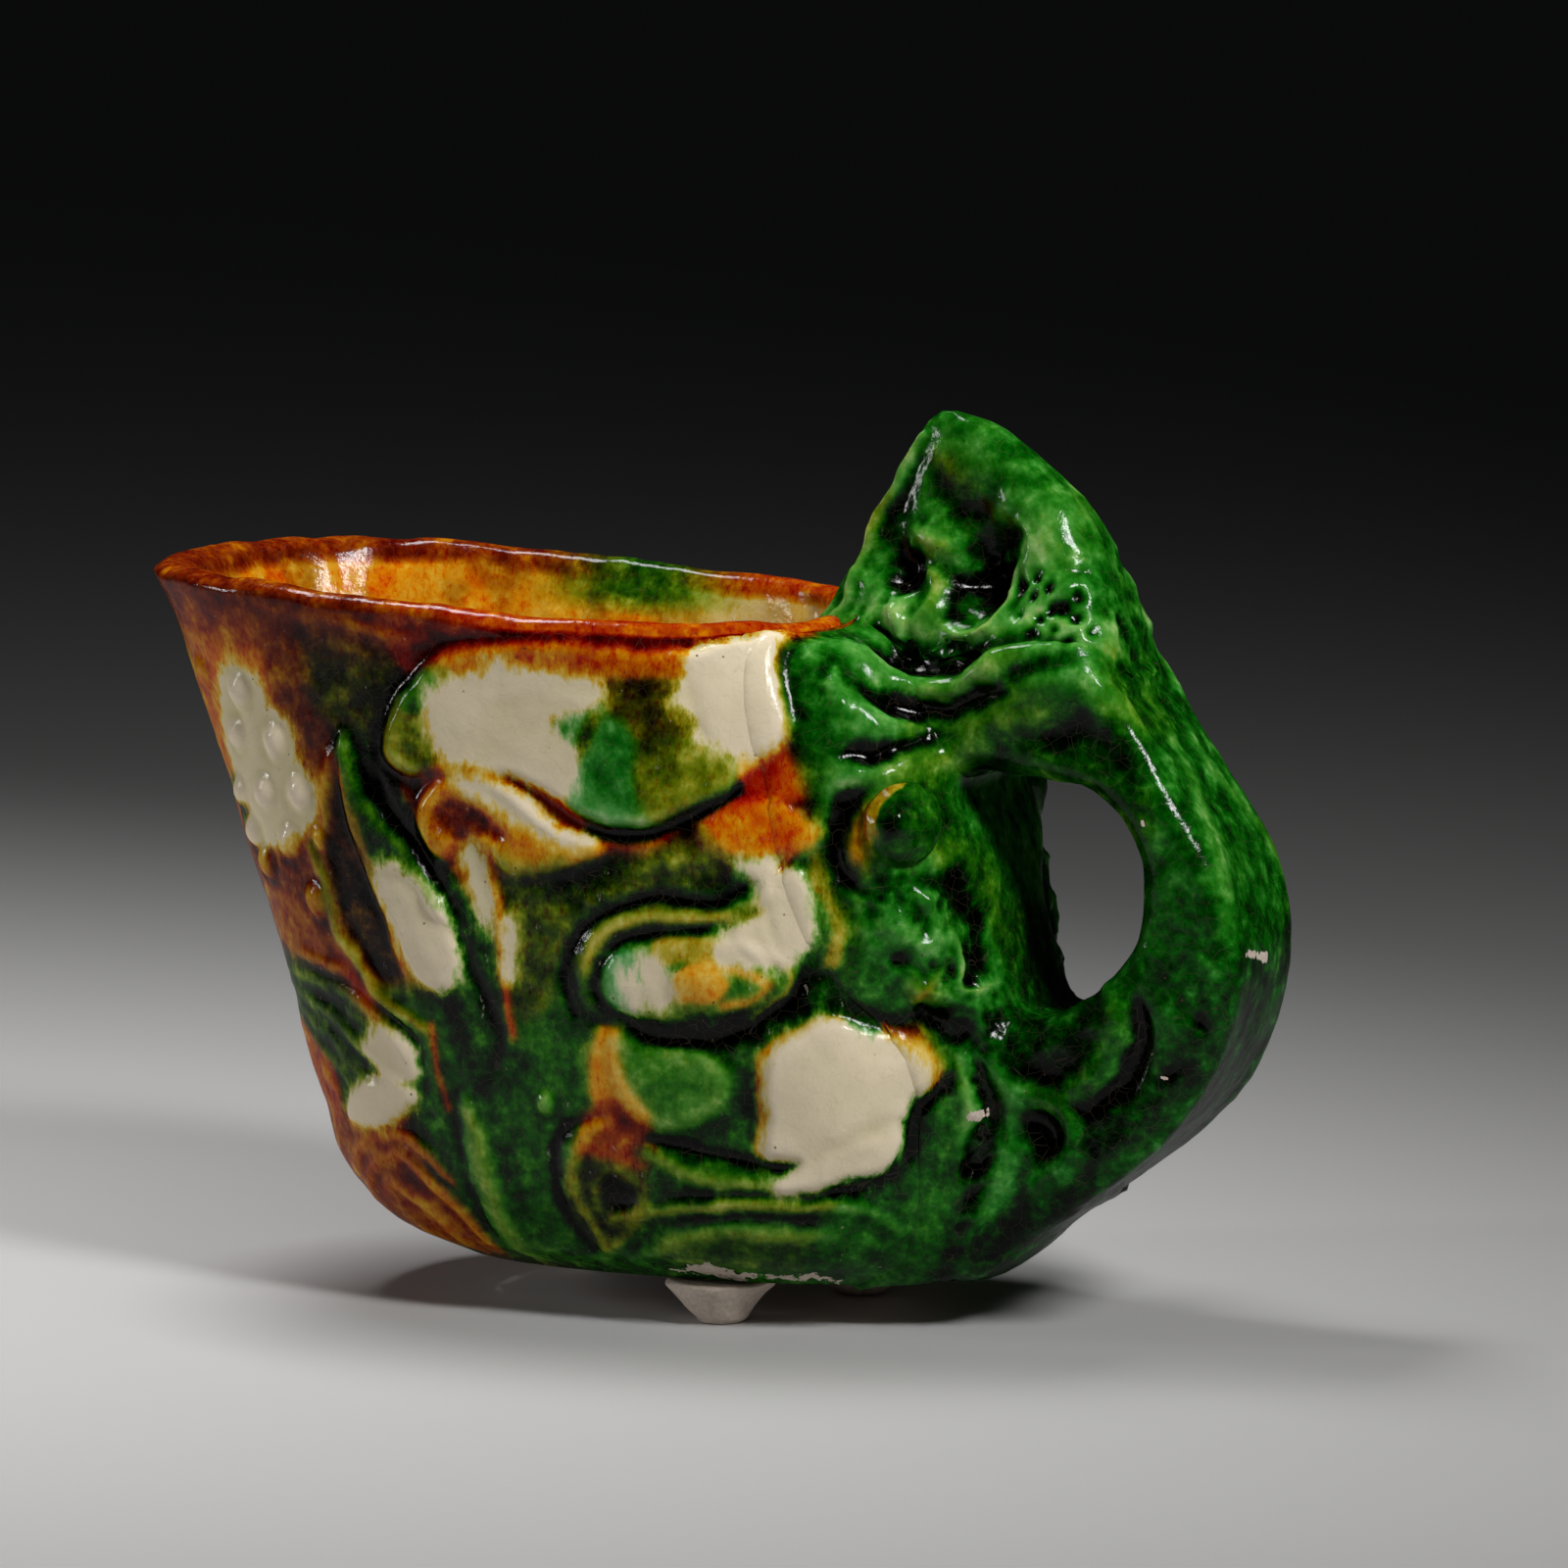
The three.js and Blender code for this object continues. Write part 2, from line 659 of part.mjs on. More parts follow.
function frontMask() {
  const room = bossBall(luteGap);
  const wrinkles = joinAll(wrinkleShares.map((shares) => wrinkle(shares, wrinkleRadius)))
    .add(wrinkle(browLobeShares, browLobeRadius))
    .subtract(trunkSolid(luteGap))
    .subtract(toSolid(room))
    .subtract(toSolid(mirrored(room)));
  return toGeometry(maskSolid().add(wrinkles).subtract(bodySolid(luteGap)));
}

function bossBall(extra = 0) {
  const place = sectionPoint(maskAt(bossHeightShare), -bossTurnShare * 2 * Math.PI);
  return ellipsoid(place, bossSize.clone().addScalar(2 * extra), aroundBoss);
}

function nearBoss() {
  return toGeometry(toSolid(bossBall()).subtract(maskSolid(luteGap)).subtract(bodySolid(luteGap)));
}

function trunk() {
  return toGeometry(trunkSolid().subtract(maskSolid(luteGap)).subtract(bodySolid(luteGap)));
}

// The crest is a pointed hood with a pinched, pitted hollow on each side
function crest() {
  const pitCentre = new THREE.Vector3(
    crestFront + pitPlaceShare.x * crestLength,
    -pitPlaceShare.y * crestHalfWidth,
    crestFoot + pitPlaceShare.z * crestHeight,
  );
  const nearPit = toSolid(ellipsoid(pitCentre, recessSize, aroundPit))
    .add(toSolid(ellipsoid(pitCentre, pitSize, aroundPit)));
  const farPit = toSolid(mirrored(toGeometry(nearPit)));
  const carried = trunkSolid(luteGap).add(maskSolid(luteGap)).add(bodySolid(luteGap));
  const hood = toSolid(loft(crestShares.map(crestSection), aroundHead));
  return toGeometry(hood.subtract(nearPit).subtract(farPit).subtract(carried));
}

function clayPad() {
  const top = padHeight - luteGap;
  const pad = new THREE.LatheGeometry([
    new THREE.Vector2(0, 0),
    new THREE.Vector2(padFootRadius, 0),
    new THREE.Vector2(padTopRadius, top),
    new THREE.Vector2(0, top),
  ], aroundPad).rotateX(Math.PI / 2);
  return toGeometry(toSolid(pad));
}

const cup = new THREE.Group();
cup.position.x = (spoutReach - trunkReach) / 2;

function addPiece(name, geometry, color, roughness) {
  const finish = new THREE.MeshStandardMaterial({ color, roughness, metalness: 0 });
  const piece = new THREE.Mesh(geometry, finish);
  piece.name = name;
  cup.add(piece);
  return piece;
}

const wallHalf = nearWall();
const bossHalf = nearBoss();
addPiece('near_wall', wallHalf, amberGlaze, glazeRoughness);
addPiece('far_wall', mirrored(wallHalf), darkAmberGlaze, glazeRoughness);
addPiece('floor_slab', toGeometry(slabSolid()), bareClay, clayRoughness);
addPiece('head_front', frontMask(), greenGlaze, glazeRoughness);
addPiece('crest', crest(), greenGlaze, glazeRoughness);
addPiece('trunk_handle', trunk(), greenGlaze, glazeRoughness);
addPiece('near_eye_boss', bossHalf, oliveGlaze, glazeRoughness);
addPiece('far_eye_boss', mirrored(bossHalf), oliveGlaze, glazeRoughness);
for (const [place, spot] of Object.entries(padPlaces)) {
  addPiece(`${place}_clay_pad`, clayPad(), bareClay, clayRoughness).position.set(spot.x, spot.y, 0);
}

export default cup;
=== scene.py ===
# %% [markdown]
# # An elephant-head cup in run lead glaze
# The cup is a moulded earthenware head: the skull is the bowl, the trunk curls down as the handle and
# a pointed crest stands over the trunk's root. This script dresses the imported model. Every piece is a
# grid of points worked out with numpy in millimetres, and the glaze is a procedural material that
# reads a few painted amounts from the mesh.

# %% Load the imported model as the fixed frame
import math

import bpy
import numpy as np
from mathutils import Matrix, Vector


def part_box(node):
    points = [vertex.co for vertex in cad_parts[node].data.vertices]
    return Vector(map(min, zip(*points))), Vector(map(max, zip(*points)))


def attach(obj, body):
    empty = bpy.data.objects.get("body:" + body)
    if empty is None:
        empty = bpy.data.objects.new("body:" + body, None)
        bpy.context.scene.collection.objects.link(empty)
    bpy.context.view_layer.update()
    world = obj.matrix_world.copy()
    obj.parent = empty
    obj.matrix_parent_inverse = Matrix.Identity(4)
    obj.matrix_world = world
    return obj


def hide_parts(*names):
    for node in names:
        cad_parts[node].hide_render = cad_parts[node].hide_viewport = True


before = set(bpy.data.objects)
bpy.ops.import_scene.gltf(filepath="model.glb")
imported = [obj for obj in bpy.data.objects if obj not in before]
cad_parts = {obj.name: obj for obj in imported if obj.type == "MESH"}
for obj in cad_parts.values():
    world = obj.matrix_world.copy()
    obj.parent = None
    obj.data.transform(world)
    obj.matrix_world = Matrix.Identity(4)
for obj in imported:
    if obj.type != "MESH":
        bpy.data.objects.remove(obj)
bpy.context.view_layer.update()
MM = 0.001


def box_mm(node):
    """Lowest and highest corner of a node, in millimetres."""
    return [np.array(corner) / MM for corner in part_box(node)]


wall_low, wall_high = box_mm("near_wall")
crest_low, crest_high = box_mm("crest")
_, trunk_high = box_mm("trunk_handle")
_, slab_high = box_mm("floor_slab")
print("the cup is", round(trunk_high[0] - wall_low[0], 1), "mm long")

# %% [markdown]
# ## The camera
# The photograph was taken from a little above the rim, turned towards the trunk. The camera is set
# first, because the relief is placed by it: a pixel of the photograph is carried onto the clay that
# the pinhole camera sees there.

# %% Camera
PHOTO_PX = 1600
PHOTO_MIDDLE_PX = PHOTO_PX / 2
AIM = np.array((7.7, 0.0, 52.5))
AZIMUTH = math.radians(22)
ELEVATION = math.radians(7.5)
DISTANCE = 800.0
PX_PER_MM = 10.2  # at the aim
SENSOR = 36.0
NEAREST_SEEN_M = 0.05

TO_CAMERA = np.array((
    math.sin(AZIMUTH) * math.cos(ELEVATION),
    -math.cos(AZIMUTH) * math.cos(ELEVATION),
    math.sin(ELEVATION),
))
TO_RIGHT = np.array((math.cos(AZIMUTH), math.sin(AZIMUTH), 0.0))
TO_TOP = np.cross(TO_CAMERA, TO_RIGHT)


def in_photo(points):
    """Pixel of each point: its steps right and up from the aim, times a scale that grows nearer."""
    step = points - AIM
    scale = PX_PER_MM / (1 - step @ TO_CAMERA / DISTANCE)
    across = PHOTO_MIDDLE_PX + scale * (step @ TO_RIGHT)
    down = PHOTO_MIDDLE_PX - scale * (step @ TO_TOP)
    return np.stack([across, down], -1)


camera = bpy.data.objects.new("camera", bpy.data.cameras.new("camera"))
bpy.context.scene.collection.objects.link(camera)
camera.data.sensor_width = SENSOR
camera.data.lens = SENSOR * DISTANCE * PX_PER_MM / PHOTO_PX
camera.data.clip_start = NEAREST_SEEN_M
camera.location = (AIM + DISTANCE * TO_CAMERA) * MM
camera.rotation_euler = (math.pi / 2 - ELEVATION, 0.0, AZIMUTH)
bpy.context.scene.camera = camera
print("lens", round(camera.data.lens, 1), "mm")

# %% [markdown]
# ## Small tools
# Noise is a lattice of seeded random numbers, blended smoothly. A line drawn through a few points
# becomes a smooth curve, and every form of the relief is a bump or hollow that depends only on how
# far a place is from such a curve.

# %% Smooth steps, tables and noise
def ease(share):
    """0 below 0, 1 above 1, and the smooth s-curve 3t^2 - 2t^3 between."""
    t = np.clip(share, 0, 1)
    return t * t * (3 - 2 * t)


def read_rows(shares, at):
    """Columns of a table at any place: a cubic through the rows, with each row's own slope."""
    rows = np.array(shares, float)
    places, values = rows[:, 0], rows[:, 1:]
    slopes = np.gradient(values, places, axis=0)
    at = np.clip(np.asarray(at, float), places[0], places[-1])
    i = np.clip(np.searchsorted(places, at, "right") - 1, 0, len(places) - 2)
    step = (places[i + 1] - places[i])[..., None]
    t = ((at - places[i]) / (places[i + 1] - places[i]))[..., None]
    found = (
        (2 * t**3 - 3 * t**2 + 1) * values[i]
        + (t**3 - 2 * t**2 + t) * step * slopes[i]
        + (3 * t**2 - 2 * t**3) * values[i + 1]
        + (t**3 - t**2) * step * slopes[i + 1]
    )
    return np.moveaxis(found, -1, 0)


LATTICE_SIZE = 64
LATTICE = np.random.default_rng(7).uniform(-1, 1, (LATTICE_SIZE,) * 3)
SKEW, _ = np.linalg.qr(np.random.default_rng(3).normal(size=(3, 3)))  # a turn off every axis
SEED_STEP = 17.3  # every seed reads another part of the lattice


def cloud(points, size, seed=0):
    """Smooth noise from -1 to 1: random numbers a size apart in space, blended by the s-curve."""
    place = points @ SKEW / size + SEED_STEP * seed
    low = np.floor(place).astype(int)
    t = ease(place - low)
    total = 0.0
    for corner in np.ndindex(2, 2, 2):
        c = np.array(corner)
        i, j, k = np.moveaxis((low + c) % LATTICE_SIZE, -1, 0)
        weight = np.prod(np.where(c == 1, t, 1 - t), -1)
        total = total + weight * LATTICE[i, j, k]
    return total


def clouds(points, *layers):
    """Clouds of several sizes added up; a layer is its height, its size and its seed."""
    return sum(height * cloud(points, size, seed) for height, size, seed in layers)


def smooth_line(points, closed=False, steps=6):
    """Catmull-Rom curve: each stretch is the cubic that passes its two ends with mean slopes."""
    p = np.array(points, float)
    if closed:
        before, first, second, after = np.roll(p, 1, 0), p, np.roll(p, -1, 0), np.roll(p, -2, 0)
    else:
        padded = np.concatenate([2 * p[:1] - p[1:2], p, 2 * p[-1:] - p[-2:-1]])
        before, first, second, after = padded[:-3], padded[1:-2], padded[2:-1], padded[3:]
    t = (np.arange(steps) / steps)[None, :, None]
    b, f, s, a = (q[:, None, :] for q in (before, first, second, after))
    curve = 0.5 * (
        2 * f + (s - b) * t + (2 * b - 5 * f + 4 * s - a) * t**2 + (3 * f - b - 3 * s + a) * t**3
    )
    curve = curve.reshape(-1, p.shape[1])
    return curve if closed else np.concatenate([curve, p[-1:]])


def from_line(places, line):
    """Distance of each place to a line, and the share of the line's length at its nearest point."""
    lengths = np.linalg.norm(np.diff(line, axis=0), axis=1)
    walked = np.concatenate([[0], np.cumsum(lengths)]) / lengths.sum()
    nearest = np.full(len(places), np.inf)
    share = np.zeros(len(places))
    for k, (start, end) in enumerate(zip(line[:-1], line[1:])):
        way = end - start
        t = np.clip((places - start) @ way / max(way @ way, 1e-9), 0, 1)
        gap = np.linalg.norm(places - start - t[:, None] * way, axis=1)
        closer = gap < nearest
        nearest[closer] = gap[closer]
        share[closer] = (walked[k] + t * (walked[k + 1] - walked[k]))[closer]
    return nearest, share


def inside_by(places, outline):
    """How far each place lies inside a closed outline, negative outside: distance signed by parity."""
    ring = np.concatenate([outline, outline[:1]])
    gap, _ = from_line(places, ring)
    inside = np.zeros(len(places), bool)
    for (x0, z0), (x1, z1) in zip(ring[:-1], ring[1:]):
        crosses = (places[:, 1] < z0) != (places[:, 1] < z1)
        if z0 != z1:
            inside ^= crosses & (places[:, 0] < x0 + (places[:, 1] - z0) * (x1 - x0) / (z1 - z0))
    return np.where(inside, gap, -gap)


def close_by(places, line, margin):
    """Which places lie within a margin of the box round a line."""
    return ((places > line.min(0) - margin) & (places < line.max(0) + margin)).all(-1)


def brushed(places, line, width, ends=(1, 1)):
    """Share of a stroke at each place: exp(-(distance/width)^2), thinner where its ends taper."""
    share = np.zeros(len(places))
    near = close_by(places, line, 3 * width)
    if near.any():
        gap, along = from_line(places[near], line)
        girth = np.interp(along, (0, 0.25, 0.75, 1), (ends[0], 1, 1, ends[1]))
        share[near] = girth * np.exp(-((gap / (width * (0.4 + 0.6 * girth))) ** 2))
    return share


print("noise lattice of", LATTICE.size, "numbers")

# %% [markdown]
# ## Grids and meshes
# Every piece starts as rows and columns of points. Neighbours are joined by four-sided faces, and the
# open ends are closed, so each piece is one watertight skin like the clay itself. The painted amounts
# are kept on the points, where the material reads them.

# %% Grids of points, their normals and the mesh made from them
def grid_normals(grid, wrap=False):
    """Normal at each point of a grid: the cross product of its two steps to the neighbours."""
    if wrap:
        along = np.roll(grid, -1, 1) - np.roll(grid, 1, 1)
    else:
        along = np.gradient(grid, axis=1)
    up = np.gradient(grid, axis=0)
    normal = np.cross(along, up)
    return normal / np.maximum(np.linalg.norm(normal, axis=-1, keepdims=True), 1e-9)


def blur(values, passes, wrap=False):
    """Each value mixed with its neighbours 1-2-1 both ways, again and again."""
    for _ in range(passes):
        up = np.pad(values, ((1, 1), (0, 0)), "edge")
        values = (up[:-2] + 2 * up[1:-1] + up[2:]) / 4
        side = np.pad(values, ((0, 0), (1, 1)), "wrap" if wrap else "edge")
        values = (side[:, :-2] + 2 * side[:, 1:-1] + side[:, 2:]) / 4
    return values


def grid_faces(rows, columns, wrap_rows=False, wrap_columns=False):
    """Four-sided faces between neighbours of a grid, joined round where it wraps."""
    row = np.arange(rows if wrap_rows else rows - 1)
    column = np.arange(columns if wrap_columns else columns - 1)
    i, j = np.meshgrid(row, column, indexing="ij")
    next_i, next_j = (i + 1) % rows, (j + 1) % columns
    corners = [i * columns + j, i * columns + next_j, next_i * columns + next_j, next_i * columns + j]
    return np.stack(corners, -1).reshape(-1, 4).tolist()


def tube_faces(rows, columns):
    """Faces of a grid joined round from column to column, with one flat face at either end."""
    faces = grid_faces(rows, columns, wrap_columns=True)
    faces.append(list(reversed(range(columns))))
    faces.append([(rows - 1) * columns + column for column in range(columns)])
    return faces


def sheet_faces(rows, columns):
    """Faces of a grid joined round from row to row, with one flat face along either side."""
    faces = grid_faces(rows, columns, wrap_rows=True)
    faces.append([row * columns for row in range(rows)])
    faces.append([row * columns + columns - 1 for row in reversed(range(rows))])
    return faces


PAINTS = ("iron", "copper", "smoke", "pool_and_shade", "cream", "bare")
NO_CREAM = -4.0  # millimetres to the nearest cream place, when there is none
NO_BARE = -2.0


def blank_paint(grid):
    """Every painted amount at zero, for each point of a grid."""
    return {key: np.zeros(grid.shape[:2]) for key in PAINTS}


def paint_on(paint, share, **amounts):
    """Amounts moved towards the new ones by a share; None leaves an amount alone."""
    for key, amount in amounts.items():
        if amount is not None:
            paint[key] += share * (amount - paint[key])


def make_piece(name, node, points, faces, paint, material, sharp=math.radians(75)):
    """One closed mesh from points in millimetres, turned outwards, with its painted amounts."""
    points = points.reshape(-1, 3)
    fans = [(face[0], face[k], face[k + 1]) for face in faces for k in range(1, len(face) - 1)]
    a, b, c = (points[np.array(fans)[:, k]] for k in range(3))
    if np.einsum("ij,ij->i", a, np.cross(b, c)).sum() < 0:
        faces = [face[::-1] for face in faces]
    mesh = bpy.data.meshes.new(name)
    mesh.from_pydata((points * MM).tolist(), [], faces)
    mesh.validate()
    mesh.shade_smooth()
    mesh.set_sharp_from_angle(angle=sharp)
    for key in PAINTS:
        values = np.broadcast_to(np.asarray(paint.get(key, 0.0), np.float32).ravel(), len(points))
        mesh.attributes.new(key, "FLOAT", "POINT").data.foreach_set("value", np.ascontiguousarray(values))
    piece = bpy.data.objects.new(name, mesh)
    bpy.context.scene.collection.objects.link(piece)
    mesh.materials.append(material)
    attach(piece, "root")
    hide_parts(node)
    print(name, len(points), "points,", len(fans), "triangles")


print("painted amounts:", ", ".join(PAINTS))

# %% [markdown]
# ## The lead glaze
# A lead glaze is coloured glass over pale clay, so light is swallowed more where the glass is thicker
# or holds more metal. Iron gives yellow, amber and brown, and copper gives green. The material raises
# the colour of one coat to the power of its amount: half a coat of amber is yellow and two coats are
# brown, and the fringes round the cream places come by themselves. The amounts are painted on the
# meshes' points further down.

# %% Node helpers
def add_node(tree, kind, settings=None, **inputs):
    """A node with its settings and inputs; an input is a number, a colour or another node's output."""
    node = tree.nodes.new(kind)
    for key, value in (settings or {}).items():
        setattr(node, key, value)
    for key, value in inputs.items():
        socket = node.inputs[int(key[1:])] if key[0] == "i" and key[1:].isdigit() else node.inputs[key]
        if isinstance(value, bpy.types.NodeSocket):
            tree.links.new(value, socket)
        else:
            socket.default_value = value
    return node


def math_node(tree, operation, first, *others):
    """Values joined by one operation, from the first to the last."""
    settings = {"operation": operation}
    for value in others or (None,):
        inputs = {"i0": first} if value is None else {"i0": first, "i1": value}
        first = add_node(tree, "ShaderNodeMath", settings, **inputs).outputs[0]
    return first


def ramp(tree, value, limits, smooth=True):
    """A value carried from its low and high end to two other amounts, and held at the ends."""
    kind = "SMOOTHSTEP" if smooth else "LINEAR"
    low, high, to_low, to_high = limits
    node = add_node(tree, "ShaderNodeMapRange", {"interpolation_type": kind, "clamp": True},
                    i0=value, i1=low, i2=high, i3=to_low, i4=to_high)
    return node.outputs[0]


def coat(tree, colour, amount):
    """What a coat lets through: its colour to the power of its amount."""
    return add_node(tree, "ShaderNodeGamma", Color=colour, Gamma=amount).outputs[0]


def mix_colours(tree, share, first, second, blend="MIX"):
    """Two colours mixed by a share."""
    node = add_node(tree, "ShaderNodeMix", {"data_type": "RGBA", "blend_type": blend}, i0=share)
    for index, value in ((6, first), (7, second)):
        if isinstance(value, bpy.types.NodeSocket):
            tree.links.new(value, node.inputs[index])
        else:
            node.inputs[index].default_value = value
    return node.outputs[2]


def painted(tree, name):
    """A painted amount of the mesh."""
    return add_node(tree, "ShaderNodeAttribute", {"attribute_name": name}).outputs["Fac"]


def noise(tree, places, scale, detail=3.0, roughness=0.55):
    """Noise with a number of lumps per millimetre."""
    sizes = {"Scale": scale / MM, "Detail": detail, "Roughness": roughness}
    return add_node(tree, "ShaderNodeTexNoise", Vector=places, **sizes).outputs["Fac"]


def cells(tree, places, scale, feature):
    """Distance to the middle or the edge of scattered cells, a number of them per millimetre."""
    node = add_node(tree, "ShaderNodeTexVoronoi", {"feature": feature}, Vector=places, Scale=scale / MM)
    return node.outputs["Distance"]


# %% The glaze
CLAY = (0.80, 0.68, 0.53, 1)
AMBER_COAT = (0.80, 0.17, 0.00012, 1)
COPPER_COAT = (0.040, 0.36, 0.075, 1)
SMOKE_COAT = (0.24, 0.24, 0.30, 1)
CLEAR_COAT = (0.84, 0.85, 0.73, 1)
BARE_CLAY = (0.53, 0.43, 0.35, 1)
WORN_CLAY = (0.66, 0.57, 0.49, 1)
SPECK = (0.05, 0.03, 0.02, 1)
CRACK = (0.20, 0.15, 0.10, 1)

RUN_STRETCH = (1.0, 1.0, 0.45)  # glaze runs down, so its teeth are longer than wide
FINE_LUMPS, COARSE_LUMPS, TEETH, IRON_GRAINS = 1.0, 0.4, 1.1, 1.8  # lumps per millimetre
SPECK_CELLS, SPECK_FIELDS, CRACK_CELLS = 0.55, 0.3, 0.75
WAVES, PITS, CLAY_GRAINS = 0.35, 2.2, 1.8
FINE_SHARE, COARSE_SHARE = 0.55, 1.1
WAVE_SHARE, PIT_SHARE = 0.7, 0.22
POOL_GAIN = 2.1  # the coat grows as e to this power for a pool of 1 mm

# Ramps: a value's low and high end, and what they become
UNEVEN = (0.56, 1.08, 0.45, 1.65)
CREAM_TEETH = (0.3, 0.7, -0.7, 0.7)
COVERED = (-2.4, 0.35, 1.0, 0.0)
GRAINY = (0.5, 0.7, 0.85, 1.8)
SPECK_SIZE = (0.05, 0.11, 1.0, 0.0)
SPECKLED = (0.5, 0.6, 0.0, 0.8)
CRACK_WIDTH = (0.0, 0.03, 0.10, 0.0)
WORN = (0.35, 0.7, 0.0, 1.0)
BARE_TEETH = (0.3, 0.7, -0.6, 0.6)
BARE_EDGE = (-0.05, 0.12, 0.0, 1.0)

GLOSS = {"Roughness": 0.35, "Specular IOR Level": 0.0}
CLEAR_GLOSS = {"Coat Weight": 0.32, "Coat Roughness": 0.12, "Coat IOR": 1.5}
GLAZE_BUMP = {"Strength": 0.5, "Distance": 0.35 * MM}
CLAY_BUMP = {"Strength": 0.6, "Distance": 0.25 * MM}


def glaze_material(name):
    """Clay times each coat's colour to the power of its amount, under a clear wavy gloss."""
    material = bpy.data.materials.new(name)
    material.use_nodes = True
    tree = material.node_tree
    tree.nodes.clear()
    places = add_node(tree, "ShaderNodeTexCoord").outputs["Object"]
    runs = add_node(tree, "ShaderNodeMapping", Vector=places, Scale=RUN_STRETCH).outputs[0]
    teeth = noise(tree, runs, TEETH, 4.0, 0.65)

    fine = math_node(tree, "MULTIPLY", noise(tree, places, FINE_LUMPS, 4.0), FINE_SHARE)
    coarse = math_node(tree, "MULTIPLY", noise(tree, places, COARSE_LUMPS), COARSE_SHARE)
    uneven = ramp(tree, math_node(tree, "ADD", fine, coarse), UNEVEN, smooth=False)
    ragged = math_node(tree, "ADD", painted(tree, "cream"), ramp(tree, teeth, CREAM_TEETH, smooth=False))
    # the pooled amount also holds painted shade round hollows, and it thickens every coat
    thick = math_node(tree, "EXPONENT", math_node(tree, "MULTIPLY", painted(tree, "pool_and_shade"), POOL_GAIN))
    glass = math_node(tree, "MULTIPLY", thick, uneven, ramp(tree, ragged, COVERED))
    grains = ramp(tree, noise(tree, runs, IRON_GRAINS, 4.0, 0.7), GRAINY, smooth=False)
    iron = math_node(tree, "MULTIPLY", painted(tree, "iron"), grains, glass)
    copper = math_node(tree, "MULTIPLY", painted(tree, "copper"), glass)
    smoke = math_node(tree, "MULTIPLY", painted(tree, "smoke"), glass)

    colour = coat(tree, AMBER_COAT, iron)
    for layer in (
        coat(tree, COPPER_COAT, copper), coat(tree, SMOKE_COAT, smoke), coat(tree, CLEAR_COAT, thick), CLAY,
    ):
        colour = mix_colours(tree, 1.0, colour, layer, "MULTIPLY")
    speck_size = ramp(tree, cells(tree, places, SPECK_CELLS, "F1"), SPECK_SIZE)
    speckled = ramp(tree, noise(tree, places, SPECK_FIELDS), SPECKLED)
    colour = mix_colours(tree, math_node(tree, "MULTIPLY", speck_size, speckled), colour, SPECK)
    crack = ramp(tree, cells(tree, places, CRACK_CELLS, "DISTANCE_TO_EDGE"), CRACK_WIDTH)
    colour = mix_colours(tree, crack, colour, CRACK)

    waves = math_node(tree, "MULTIPLY", noise(tree, places, WAVES, 2.0), WAVE_SHARE)
    pits = math_node(tree, "MULTIPLY", noise(tree, places, PITS), PIT_SHARE)
    height = math_node(tree, "ADD", waves, pits)
    bump = add_node(tree, "ShaderNodeBump", Height=height, **GLAZE_BUMP).outputs[0]
    looks = {"Base Color": colour, "Normal": bump, "Coat Normal": bump}
    gloss = add_node(tree, "ShaderNodeBsdfPrincipled", **GLOSS, **CLEAR_GLOSS, **looks).outputs[0]

    grain = noise(tree, places, CLAY_GRAINS, 5.0, 0.7)
    clay = mix_colours(tree, ramp(tree, grain, WORN), BARE_CLAY, WORN_CLAY)
    bump = add_node(tree, "ShaderNodeBump", Height=grain, **CLAY_BUMP).outputs[0]
    looks = {"Base Color": clay, "Normal": bump}
    matt = add_node(tree, "ShaderNodeBsdfPrincipled", Roughness=0.9, **looks).outputs[0]

    torn = math_node(tree, "ADD", painted(tree, "bare"), ramp(tree, teeth, BARE_TEETH, smooth=False))
    mixed = add_node(tree, "ShaderNodeMixShader", i0=ramp(tree, torn, BARE_EDGE), i1=gloss, i2=matt)
    add_node(tree, "ShaderNodeOutputMaterial", Surface=mixed.outputs[0])
    return material


wall_glaze = glaze_material("wall_glaze")
green_glaze = glaze_material("green_glaze")
clay_finish = glaze_material("bare_clay")
print("three finishes of", len(wall_glaze.node_tree.nodes), "nodes each")

# %% [markdown]
# ## The sections of the body
# Level outlines of the bowl and the head are squared-off ovals. The shares below say how far each
# outline reaches forwards, backwards and sideways at a few heights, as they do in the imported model,
# and a smooth cubic joins them here.

# %% Wall sections
MIDDLE_X = -0.6  # the sections are measured from here
SPOUT_REACH = MIDDLE_X - wall_low[0]
TRUNK_REACH = trunk_high[0] - MIDDLE_X
BASE_Z = wall_low[2]
RIM_RISE = 2.0
RIM_Z = wall_high[2] - RIM_RISE
WALL_HEIGHT = RIM_Z - BASE_Z
HALF_WIDTH = 24.0
WALL_BACK = 33.4
WALL_POWER = 2.6
WALL_SHARES = [
    (0.0, 0.434, 0.78, 0.625, 0),
    (0.036, 0.541, 0.885, 0.77, 0),
    (0.095, 0.622, 0.943, 0.867, 0),
    (0.228, 0.686, 0.98, 0.942, 0),
    (0.392, 0.741, 0.968, 0.983, 0),
    (0.525, 0.791, 0.908, 1.0, 0),
    (0.703, 0.866, 0.82, 1.008, 0.15),
    (0.852, 0.928, 0.67, 1.017, 0.5),
    (0.935, 0.966, 0.556, 1.03, 0.8),
    (0.985, 1.0, 0.495, 1.063, 1),
]


def wall_section(z):
    """Front, back, half width and rise of the wall's outline at a height."""
    front, back, half, rise = read_rows(WALL_SHARES, (z - BASE_Z) / WALL_HEIGHT)
    return -front * SPOUT_REACH, back * WALL_BACK, half * HALF_WIDTH, rise * RIM_RISE


def oval(angle, power):
    """A squared-off circle: cosine and sine, each to the power 2/n with its sign kept."""
    c, s = np.cos(angle), np.sin(angle)
    return np.sign(c) * np.abs(c) ** (2 / power), np.sign(s) * np.abs(s) ** (2 / power)


